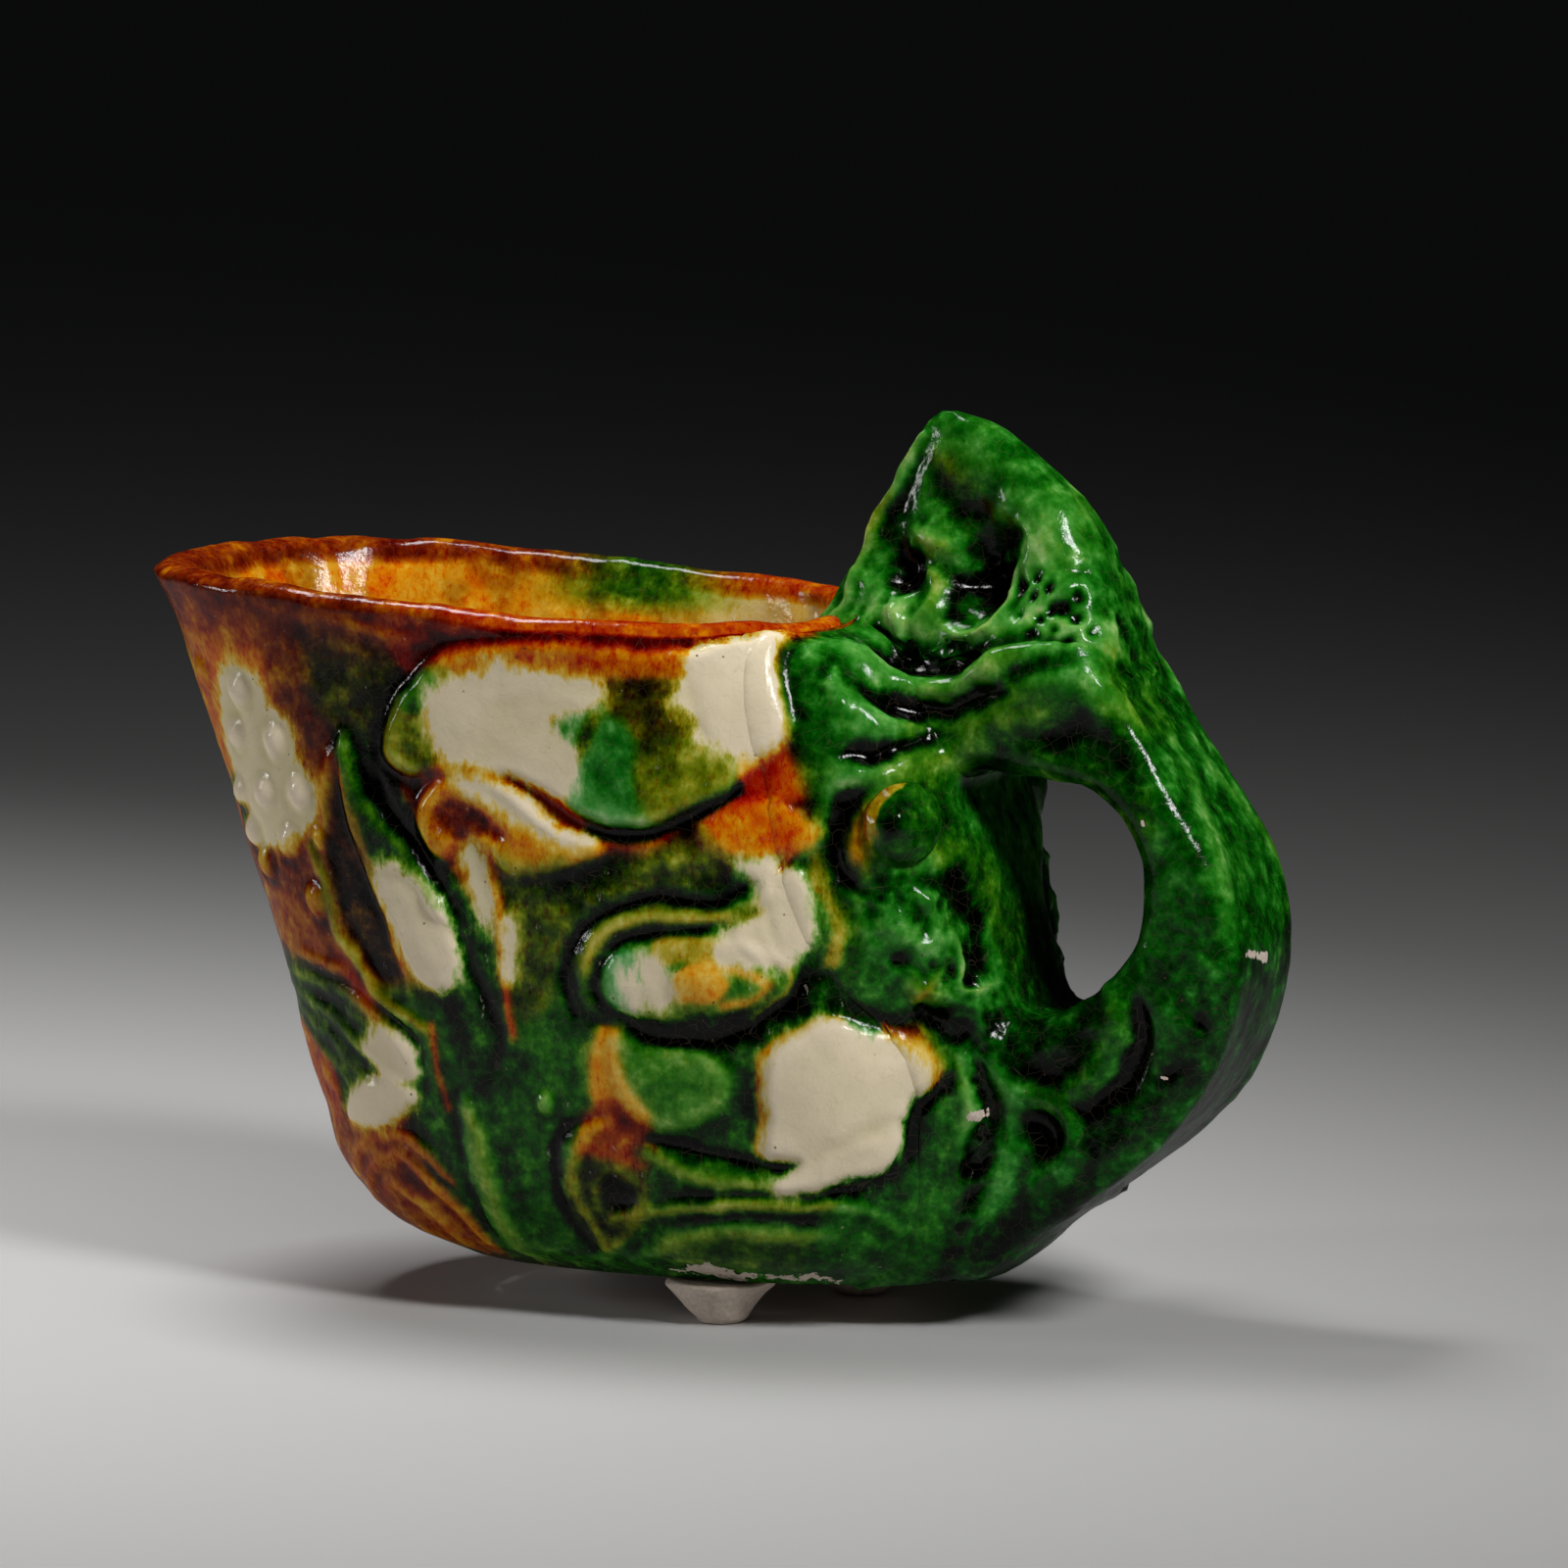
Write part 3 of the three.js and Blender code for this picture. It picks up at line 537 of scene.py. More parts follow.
HEAD_CORE = 5.0
HEAD_STAND = 4.0
HEAD_HALF = 19.0
HEAD_POWER = 3.0
HEAD_BOTTOM, HEAD_TOP = 5.4, 68.5
HEAD_SHARES = [
    (0.0, 1.5, 0.55),
    (0.06, 1.35, 0.62),
    (0.2, 1.05, 0.7),
    (0.38, 1.02, 0.78),
    (0.48, 1.0, 0.93),
    (0.6, 1.0, 1.0),
    (0.78, 1.0, 1.0),
    (0.92, 1.15, 0.95),
    (1.0, 0.9, 0.85),
]


def head_section(z):
    """Back and half width of the head's front at a height; it stands off the wall's back."""
    stand, half = read_rows(HEAD_SHARES, (z - HEAD_BOTTOM) / (HEAD_TOP - HEAD_BOTTOM))
    _, wall_back, _, _ = wall_section(z)
    return wall_back + stand * HEAD_STAND, half * HEAD_HALF


CREST_FOOT = crest_low[2]
CREST_HEIGHT = crest_high[2] - CREST_FOOT
CREST_FRONT = 13.4
CREST_LENGTH = 32.0
CREST_HALF = 10.0
CREST_PINCH = 0.62
CREST_POWER = 3
CREST_SHARES = [
    (0.0, 0.0, 0.99, 1.0),
    (0.15, 0.005, 1.0, 1.0),
    (0.33, 0.06, 0.95, 0.88),
    (0.53, 0.145, 0.88, 0.7),
    (0.72, 0.215, 0.765, 0.5),
    (0.885, 0.29, 0.615, 0.31),
    (0.97, 0.335, 0.5, 0.17),
    (1.0, 0.37, 0.42, 0.07),
]


def crest_section(z):
    """Front, back and half width of the crest at a height."""
    front, back, half = read_rows(CREST_SHARES, (z - CREST_FOOT) / CREST_HEIGHT)
    return CREST_FRONT + front * CREST_LENGTH, CREST_FRONT + back * CREST_LENGTH, half * CREST_HALF


print("wall", round(WALL_HEIGHT, 1), "mm high to the rim, crest", round(CREST_HEIGHT, 1), "mm high")

# %% [markdown]
# ## The trunk's path
# The handle is a flat strap of clay, thick at its root and at its tip. It was rolled out and bent down
# by hand, so its outer and inner edge are two free curves seen from the side.

# %% Trunk path
TRUNK_HALF = 10.0
TRUNK_OUTER_SHARES = [
    (0.38, 0.885), (0.47, 0.915), (0.62, 0.935), (0.715, 0.945), (0.79, 0.885), (0.892, 0.762),
    (0.962, 0.668), (1.0, 0.558), (0.992, 0.464), (0.945, 0.368), (0.878, 0.294), (0.772, 0.214),
    (0.666, 0.153), (0.545, 0.11),
]
TRUNK_INNER_SHARES = [
    (0.38, 0.79), (0.48, 0.785), (0.69, 0.767), (0.74, 0.757), (0.792, 0.72), (0.826, 0.665),
    (0.829, 0.598), (0.812, 0.543), (0.768, 0.495), (0.72, 0.467), (0.63, 0.432), (0.5, 0.42),
]
TRUNK_STEPS = 280


def even_steps(line, count):
    """The line walked in equal steps."""
    lengths = np.concatenate([[0], np.cumsum(np.linalg.norm(np.diff(line, axis=0), axis=1))])
    at = np.linspace(0, lengths[-1], count)
    return np.stack([np.interp(at, lengths, line[:, k]) for k in range(line.shape[1])], -1)


def trunk_edges():
    """The strap's outer and inner edge seen from the side, in equal steps from root to root."""
    edges = []
    for shares in (TRUNK_OUTER_SHARES, TRUNK_INNER_SHARES):
        curve = smooth_line(np.array(shares) * (TRUNK_REACH, RIM_Z), steps=40)
        edges.append(even_steps(curve, TRUNK_STEPS) + (MIDDLE_X, 0))
    return edges


trunk_outer, trunk_inner = trunk_edges()
trunk_middle = (trunk_outer + trunk_inner) / 2
trunk_reach = np.linalg.norm(trunk_outer - trunk_inner, axis=1) / 2
print("the strap is", round(2 * trunk_reach.min(), 1), "to", round(2 * trunk_reach.max(), 1), "mm thick")

# %% [markdown]
# ## Joining the pieces like wet clay
# The maker smeared slip over each join, so no piece starts with a hard line. Each form has a gap
# function, its distance in millimetres from any point, and a piece's points near another form are
# moved outwards to the surface where the two gaps blend. Both pieces then share one fillet.

# %% Gap functions
def slope_of(gap, points):
    """Gradient of a gap function, from small steps along the three axes."""
    small = 0.05
    steps = small * np.eye(3)
    return np.stack([(gap(points + s) - gap(points - s)) / (2 * small) for s in steps], -1)


def true_gap(level):
    """A level function turned into a distance: its value over the length of its own slope."""
    def gap(points):
        """The distance in millimetres."""
        return level(points) / np.maximum(np.linalg.norm(slope_of(level, points), axis=-1), 1e-6)
    return gap


WALL_CAP, HEAD_CAP, CREST_CAP = 20, 12, 10  # millimetres past a flat end for one unit of level


def ring_level(points, front, back, half, power):
    """A point's radius in a squared-off oval, less 1."""
    along = np.abs(points[..., 0] - MIDDLE_X - (front + back) / 2) / ((back - front) / 2)
    return (along**power + (np.abs(points[..., 1]) / half) ** power) ** (1 / power) - 1


def wall_level(points):
    """Negative inside the bowl: the ring's level, or the height over the rim if that is larger."""
    z = points[..., 2]
    front, back, half, _ = wall_section(z)
    return np.maximum(ring_level(points, front, back, half, WALL_POWER), (z - RIM_Z) / WALL_CAP)


def head_level(points):
    """Negative inside the head's front: the ring's level, or the height past its top or bottom."""
    z = points[..., 2]
    ring = ring_level(points, HEAD_CORE, *head_section(z), HEAD_POWER)
    return np.maximum(np.maximum(ring, (z - HEAD_TOP) / HEAD_CAP), (HEAD_BOTTOM - z) / HEAD_CAP)


def crest_level(points):
    """Negative inside the crest: the same, with outlines that narrow towards the front."""
    z = points[..., 2]
    front, back, half = crest_section(z)
    along = (points[..., 0] - MIDDLE_X - (front + back) / 2) / ((back - front) / 2)
    narrow = half * (1 - CREST_PINCH * (1 - np.clip(along, -1, 1)) / 2)
    ring = ring_level(points, front, back, narrow, CREST_POWER)
    return np.maximum(np.maximum(ring, (z - crest_high[2]) / CREST_CAP), (CREST_FOOT - z) / CREST_CAP)


wall_gap, head_gap, crest_gap = true_gap(wall_level), true_gap(head_level), true_gap(crest_level)
STRAP_ROUND = 2.8


def trunk_gap(points):
    """Distance to the strap: to its middle line seen from the side, and to its flat sides."""
    side = points[..., [0, 2]].reshape(-1, 2)
    nearest, share = from_line(side, trunk_middle[::4])
    reach = np.interp(share * (TRUNK_STEPS - 1), np.arange(TRUNK_STEPS), trunk_reach)
    a = (nearest - reach).reshape(points.shape[:-1]) + STRAP_ROUND
    b = np.abs(points[..., 1]) - TRUNK_HALF + STRAP_ROUND
    outside = np.hypot(np.maximum(a, 0), np.maximum(b, 0))
    return outside + np.minimum(np.maximum(a, b), 0) - STRAP_ROUND


NEAR_SHARE, DEEP_SHARE = 1.5, 0.6  # how far out and how deep in a join acts, in reaches
FLATTEST_SLOPE = 0.2  # a gap's slope squared counts as no less, or the points would jump
WELL_MOVED = 0.3  # millimetres
CHANGE_GAIN, CHANGE_PASSES, SMOOTH_PASSES = 3, 4, 8  # passes of blur


def fused(points, own, others, reach=4.0, rounds=3):
    """Points moved outwards to where the gaps blend: the smaller gap less a fillet near both."""
    def blended(p):
        """The gap of the piece and the other forms together."""
        total = own(p)
        for other in others:
            gap = other(p)
            total = np.minimum(total, gap) - np.maximum(reach - np.abs(total - gap), 0) ** 2 / (4 * reach)
        return total
    nearest = np.min([other(points) for other in others], axis=0)
    near = (nearest < NEAR_SHARE * reach) & (nearest > -DEEP_SHARE * reach)
    held = points[near]
    weight = ease(1 + nearest[near] / (DEEP_SHARE * reach))[:, None]
    for _ in range(rounds):
        slope = slope_of(blended, held)
        length2 = np.maximum((slope**2).sum(-1), FLATTEST_SLOPE)
        held = held - weight * (np.minimum(blended(held), 0) / length2)[:, None] * slope
    moved = points.copy()
    moved[near] = held
    change = ease(np.linalg.norm(moved - points, axis=-1) / WELL_MOVED)
    change = np.clip(CHANGE_GAIN * blur(change, CHANGE_PASSES), 0, 1)[..., None]
    smooth = np.stack([blur(moved[..., k], SMOOTH_PASSES) for k in range(3)], -1)
    change[[0, -1]] = 0
    change[:, [0, -1]] = 0
    return moved + change * (smooth - moved)


BOWL_MIDDLE = np.array((0.0, 0.0, 40.0))
print("from the bowl's middle to the trunk:", round(float(trunk_gap(BOWL_MIDDLE)), 1), "mm")

# %% [markdown]
# ## The wall
# Each half of the wall is one closed sheet: a profile runs up the outside, over the lip, down the
# inside and back under the foot, and it is carried round the half outline from the back seam to the
# spout. The outside is fine enough for the relief, and the inside is coarser.

# %% Wall profile and grid
LIP_THICKNESS = 3.2
SPOUT_THICKNESS = 4.6
WALL_THICKNESS = 4.0
LIP_ROUND = 1.5
FLOOR_Z = slab_high[2]
SLAB_INSET = 2.6
OUTSIDE_ROWS, INSIDE_ROWS, LIP_ROWS = 190, 58, 9
WALL_COLUMNS = 330
CAVITY_SHARES = [(0.0, 2.4), (0.02, 1.6), (0.06, 1.1), (0.2, 1.0), (0.4, 1.0), (0.9, 0.98), (1.0, 0.75)]
PROFILE_SAMPLES, TURN_SAMPLES = 400, 2000
MEAN_REACH = 0.65 * SPOUT_REACH
SWAY_LOW, SWAY_RISE = 58, 14  # the wall sways above this height
SWAY = (0.55, 13.0, 61), (0.3, 5.0, 62), (0.12, 2.0, 63)


def profile_rows():
    """Height and insets of every row: front, back and side, from the foot round to the foot."""
    dense = np.linspace(BASE_Z, RIM_Z - LIP_ROUND, PROFILE_SAMPLES)
    front, _, half, _ = wall_section(dense)
    sideways = np.hypot(np.diff(front), np.diff(half)) / 1.5
    walked = np.concatenate([[0], np.cumsum(np.hypot(np.diff(dense), sideways))])
    outside = np.interp(np.linspace(0, walked[-1], OUTSIDE_ROWS), walked, dense)
    turn = np.linspace(0, np.pi, LIP_ROWS + 2)[1:-1]
    lip = RIM_Z - LIP_ROUND + LIP_ROUND * np.sin(turn)
    inside = np.linspace(RIM_Z - LIP_ROUND, FLOOR_Z, INSIDE_ROWS)
    share = (inside - FLOOR_Z) / (RIM_Z - FLOOR_Z)
    (thick,) = read_rows(CAVITY_SHARES, share)
    near_lip = ease((share - 0.9) / 0.1)
    side = thick * WALL_THICKNESS * (1 - near_lip) + LIP_THICKNESS * near_lip
    ahead = thick * WALL_THICKNESS * (1 - near_lip) + SPOUT_THICKNESS * near_lip
    fold = (1 - np.cos(turn)) / 2
    heights = np.concatenate([outside, lip, inside, [BASE_Z + 1.0, BASE_Z]])
    none = np.zeros(OUTSIDE_ROWS)
    under = np.full(2, SLAB_INSET)
    sides = np.concatenate([none, fold * LIP_THICKNESS, side, under])
    fronts = np.concatenate([none, fold * SPOUT_THICKNESS, ahead, under])
    at = np.concatenate([outside, np.full(LIP_ROWS, RIM_Z), inside, [BASE_Z, BASE_Z]])
    return heights, at, fronts, sides


def wall_grid():
    """Points of the near half's sheet, one row per height and one column per angle."""
    heights, at, fronts, sides = profile_rows()
    front, back, half, rise = wall_section(at)
    turn = np.linspace(0, np.pi, TURN_SAMPLES)
    ahead, aside = oval(turn, WALL_POWER)
    step = np.hypot(np.diff(ahead, prepend=1) * MEAN_REACH, np.diff(aside, prepend=0) * HALF_WIDTH)
    walked = np.cumsum(step)
    angle = np.interp(np.linspace(0, walked[-1], WALL_COLUMNS), walked, turn)
    angle[[0, -1]] = 0, np.pi
    along, across = oval(angle, WALL_POWER)
    across[[0, -1]] = 0
    low, high, wide = (v[:, None] for v in (front + fronts, back - sides, half - sides))
    x = MIDDLE_X + (low + high) / 2 + (high - low) / 2 * along
    z = heights[:, None] - rise[:, None] * along
    y = -wide * across
    flat = np.stack([x, y, 0 * x], -1)
    sway = ease((heights[:, None] - SWAY_LOW) / SWAY_RISE) * clouds(flat, *SWAY)
    return np.stack([x, y, z + sway], -1)


wall = wall_grid()
wall_rows, wall_columns = wall.shape[:2]
skin = wall[:OUTSIDE_ROWS]
steps = np.linalg.norm(np.diff(skin, axis=1)[..., :2], axis=-1)
walked = np.concatenate([np.zeros((OUTSIDE_ROWS, 1)), np.cumsum(steps, axis=1)], axis=1)
broad = wall_columns // 3
chart_x = skin[:, broad, 0][:, None] - (walked - walked[:, broad][:, None])
chart = np.stack([chart_x, skin[..., 2]], -1)
print("outside grid", skin.shape[:2], "steps of", round(float(np.median(steps)), 2), "mm")

# %% [markdown]
# ## Placing the relief
# The wall unrolls into a flat chart: millimetres along the wall, and height. A form is drawn through
# pixels of the photograph, and each pixel is carried into the chart by the wall's own points that
# project nearest to it.

# %% From the photograph to the wall
def near_side_normals(grid):
    """Normals of the near wall's outside, turned away from the middle plane."""
    normals = grid_normals(grid)
    return normals if normals[OUTSIDE_ROWS // 2, WALL_COLUMNS // 2, 1] < 0 else -normals


skin_normals = near_side_normals(skin)
NEAR_HEAD_X = 34  # the head covers the wall from here on
PIXEL_BLUR = 9.0  # in square pixels
seen = (skin_normals @ TO_CAMERA > 0.05) & (skin[..., 0] < NEAR_HEAD_X)
seen_pixels = in_photo(skin[seen])
seen_chart = chart[seen]


def on_chart(pixels):
    """Chart places of pixels: a mean of the wall's seen points, weighted by how near they project."""
    found = []
    for pixel in np.array(pixels, float):
        gap2 = ((seen_pixels - pixel) ** 2).sum(-1)
        weight = np.exp(-(gap2 - gap2.min()) / PIXEL_BLUR)
        found.append(weight @ seen_chart / weight.sum())
    return np.array(found)


HAND_WANDER = 0.45  # millimetres, so that no line runs quite true
hand = np.stack([clouds(skin, (1, 4.0, seed), (0.4, 1.6, seed + 2)) for seed in (31, 32)], -1)
chart_places = (chart + HAND_WANDER * hand).reshape(-1, 2)
LINE_DEPTH = 0.58  # the glaze half fills what was pressed in the mould
FIELD_DEPTH = 0.8
GROOVE_SHARE, GROOVE_DEPTH = 0.5, 0.7  # a groove narrows and fills up with glaze


def depth_inside(pixels, margin):
    """How far each place of the chart lies inside an outline; far outside, minus the margin."""
    outline = smooth_line(on_chart(pixels), closed=True, steps=4)
    depth = np.full(len(chart_places), -float(margin))
    near = close_by(chart_places, outline, margin)
    depth[near] = inside_by(chart_places[near], outline)
    return depth.reshape(chart.shape[:2])


def line_share(pixels, width, ends=(1, 1)):
    """Share of a stroke at each place of the chart."""
    return brushed(chart_places, smooth_line(on_chart(pixels)), width, ends).reshape(chart.shape[:2])


def wall_line(pixels, width, height, ends=(0.5, 0.5)):
    """A ridge, or a groove when the height is negative: height times exp(-(distance/width)^2)."""
    if height < 0:
        width, height = GROOVE_SHARE * width, GROOVE_DEPTH * height
    return LINE_DEPTH * height * line_share(pixels, width, ends)


def wall_field(pixels, lift, edge, crown=0.0):
    """A raised field inside an outline: it rises over the edge's width, and its crown domes it."""
    depth = depth_inside(pixels, edge)
    return FIELD_DEPTH * (lift * ease(depth / edge + 0.5) + crown * ease(depth / (4 * edge)))


def wall_dome(pixel, radius, lift, tall=1.0):
    """A round boss: lift times exp(-(distance/radius)^4), with a shallow moat round its foot."""
    centre = on_chart([pixel])[0]
    gap = np.linalg.norm((chart_places - centre) / (1, tall), axis=1) / radius
    moat = 0.25 * lift * np.exp(-((gap - 1.45) ** 2) / 0.08)
    return (lift * np.exp(-(gap**4)) - moat).reshape(chart.shape[:2])


def press(forms):
    """Add a table of forms to the relief; a row is a tool, its sizes in millimetres and its pixels."""
    for tool, *sizes, pixels in forms:
        relief[:] += tool(pixels, *sizes)


print(len(seen_pixels), "places of the wall are seen by the camera")

# %% [markdown]
# ## The ear, the leaf and the grapes
# The ear is a broad raised flap with a thin rolled edge, and its lower lobe curls into a scroll.
# Left of it a lance leaf and a petal hang from the rim, and a bunch of grapes fills the spout's side.

# %% Ear, leaf and grapes
relief = np.zeros(chart.shape[:2])

EAR_PX = [
    (432, 790), (412, 784), (400, 770), (397, 752), (402, 730), (414, 708), (436, 684), (470, 663),
    (530, 656), (620, 658), (700, 664), (757, 650), (795, 656), (812, 690), (813, 738), (796, 762),
    (762, 790), (738, 814), (700, 828), (660, 842), (622, 843), (590, 828), (556, 806), (520, 794),
    (480, 785), (455, 790),
]
EAR_EDGE_PX = [
    (430, 789), (410, 782), (397, 767), (396, 749), (401, 728), (411, 711), (427, 693), (453, 672),
    (492, 657), (560, 654), (640, 655), (700, 660),
]
ROLL_PX = [
    (432, 820), (446, 802), (470, 789), (498, 790), (530, 808), (562, 836), (604, 856), (616, 872),
    (590, 884), (552, 891), (520, 884), (502, 866), (485, 852), (468, 850), (454, 868), (440, 860),
    (432, 842),
]
ROLL_EDGE_PX = [
    (456, 873), (441, 862), (432, 841), (434, 818), (447, 801), (468, 789), (496, 791), (541, 826),
    (566, 845), (604, 857),
]
ROLL_HOLLOW_PX = [
    (446, 824), (462, 812), (486, 816), (506, 834), (520, 852), (505, 858), (484, 849), (464, 849),
    (450, 842),
]
EAR_FORMS = (
    (wall_field, 1.5, 1.1, EAR_PX),
    (wall_line, 0.5, 0.7, (0.8, 0.3), EAR_EDGE_PX),
    (wall_line, 0.8, -0.6, [(418, 800), (396, 786), (384, 765), (384, 740), (392, 716), (408, 694),
        (432, 672)]),
    (wall_field, 1.3, 1.2, 0.4, ROLL_PX),
    (wall_line, 0.7, 0.8, ROLL_EDGE_PX),
    (wall_field, -0.9, 1.0, ROLL_HOLLOW_PX),
    (wall_line, 0.35, -0.7, [(466, 849), (485, 849), (501, 861), (511, 882), (515, 905)]),
    (wall_line, 0.5, 0.45, [(500, 870), (507, 906), (510, 943), (513, 974), (518, 1010), (522, 1060)]),
    (wall_line, 1.6, -0.35, [(560, 700), (600, 706), (650, 700), (700, 712)]),
    (wall_line, 1.4, -0.25, [(500, 720), (540, 716), (600, 728)]),
    (wall_line, 1.0, -0.5, [(688, 668), (700, 700), (712, 740), (735, 764)]),
    (wall_line, 0.8, -1.1, [(588, 846), (612, 852), (640, 853), (665, 845), (700, 835), (728, 822),
        (752, 800), (770, 772)]),
)
press(EAR_FORMS)

LEAF_PX = [
    (353, 750), (366, 780), (380, 812), (395, 834), (413, 852), (434, 884), (452, 914), (470, 948),
    (452, 930), (428, 900), (400, 884), (378, 880), (364, 846), (355, 817), (349, 785),
]
PETAL_PX = [
    (386, 887), (405, 882), (425, 896), (445, 914), (460, 934), (471, 962), (471, 988), (464, 1006),
    (450, 1011), (434, 1002), (422, 990), (417, 972), (408, 948), (396, 926), (388, 906),
]
LEAF_FORMS = (
    (wall_field, 1.3, 0.9, LEAF_PX),
    (wall_field, 1.1, 1.2, 0.3, PETAL_PX),
    (wall_line, 0.5, 0.9, [(353, 752), (341, 767), (332, 788), (329, 815), (333, 842)]),
    (wall_dome, 0.8, 0.8, (327, 856)),
    (wall_line, 0.5, 0.9, [(319, 868), (324, 884), (333, 905), (339, 926), (344, 950), (358, 974),
        (373, 990), (386, 1016), (405, 1033), (421, 1041), (434, 1050), (441, 1070)]),
    (wall_line, 0.42, 0.8, [(349, 788), (354, 817), (362, 846), (372, 877), (386, 911), (402, 945),
        (411, 980), (414, 1010)]),
    (wall_field, -0.5, 1.2, [(343, 800), (352, 830), (362, 862), (377, 905), (396, 945), (403, 990),
        (390, 1005), (366, 968), (346, 925), (338, 870)]),
    (wall_line, 0.6, -0.9, [(402, 960), (408, 984), (411, 1012)]),
    (wall_line, 0.8, -1.0, [(382, 1020), (402, 1042), (424, 1064), (432, 1092), (432, 1120)]),
    (wall_line, 1.2, -0.9, (0.2, 0.5), [(378, 750), (385, 780), (396, 815), (416, 850), (438, 888),
        (461, 936), (484, 986), (500, 1027), (509, 1056), (500, 1090), (484, 1118)]),
)
press(LEAF_FORMS)

GRAPES_PX = [
    (243, 703), (240, 748), (278, 756), (270, 807), (304, 809), (298, 860), (275, 882), (324, 919),
    (262, 850), (208, 687), (247, 806),
]
FLAT_GRAPES_PX = [(208, 687)]
GRAPE_RADIUS, GRAPE_TALL = 1.35, 1.12
GRAPE_LIFT, FLAT_GRAPE_LIFT = 0.75, 0.5
for grape in GRAPES_PX:
    lift = FLAT_GRAPE_LIFT if grape in FLAT_GRAPES_PX else GRAPE_LIFT
    relief += wall_dome(grape, GRAPE_RADIUS, lift, GRAPE_TALL)
print("the ear and the leaves rise", round(relief.max(), 2), "mm")

# %% [markdown]
# ## The eye, the cheek and the lower waves
# A heavy brow and a second line curl over an almond eye with a round iris. Below come a round cheek,
# folded waves along the foot, feather lines and a coiled curl under the spout.

# %% Eye and nose
EYE_PX = [
    (612, 1002), (628, 974), (668, 957), (720, 952), (764, 961), (786, 984), (785, 1007), (760, 1028),
    (715, 1037), (665, 1038), (628, 1030),
]
EYE_FORMS = (
    (wall_line, 0.75, -1.5, (0.6, 0.5), [(584, 1038), (579, 1010), (580, 985), (588, 957), (611, 937),
        (639, 923), (673, 914), (701, 918), (729, 920), (748, 912), (764, 899)]),
    (wall_line, 0.9, 1.1, (0.4, 0.6), [(600, 1000), (601, 971), (622, 948), (658, 933), (701, 934),
        (743, 932), (785, 914)]),
    (wall_line, 0.5, -0.9, [(607, 1018), (613, 984), (631, 963), (660, 952), (701, 946), (743, 940),
        (768, 926)]),
    (wall_line, 0.45, 0.8, [(604, 968), (597, 990), (598, 1012), (608, 1037)]),
    (wall_line, 0.6, 1.0, [(786, 972), (802, 992), (794, 1014), (766, 1037)]),
    (wall_field, 1.1, 1.3, 0.5, EYE_PX),
    (wall_dome, 2.6, 0.45, 0.85, (716, 1002)),
    (wall_line, 0.28, 0.35, [(752, 975), (768, 990), (768, 1008), (752, 1024), (730, 1032)]),
    (wall_line, 0.3, 0.35, [(644, 994), (645, 1030)]),
    (wall_line, 1.1, -1.4, (0.5, 0.3), [(606, 1046), (640, 1056), (680, 1062), (722, 1062), (762, 1050),
        (790, 1030), (816, 1002), (852, 992)]),
    (wall_field, 0.8, 1.2, [(744, 886), (780, 880), (798, 892), (815, 887), (827, 905), (833, 936),
        (828, 957), (806, 979), (784, 978), (760, 966), (748, 944), (780, 930), (770, 905)]),
    (wall_line, 0.5, -0.9, [(808, 856), (799, 887), (790, 909), (786, 932), (791, 956), (793, 970)]),
    (wall_line, 0.7, 0.6, [(836, 900), (842, 934), (856, 974), (842, 982)]),
    (wall_field, 0.8, 1.6, [(712, 840), (740, 816), (779, 812), (813, 826), (838, 855), (800, 876),
        (743, 878), (715, 864)]),
    (wall_line, 0.9, 0.5, [(605, 862), (640, 858), (680, 862), (720, 872)]),
    (wall_line, 0.7, 0.4, [(650, 884), (690, 876), (735, 886)]),
    (wall_dome, 0.5, 0.4, (602, 920)),
    (wall_dome, 0.6, 0.4, (686, 882)),
)
press(EYE_FORMS)
print("eye and nose:", len(EYE_FORMS), "forms")

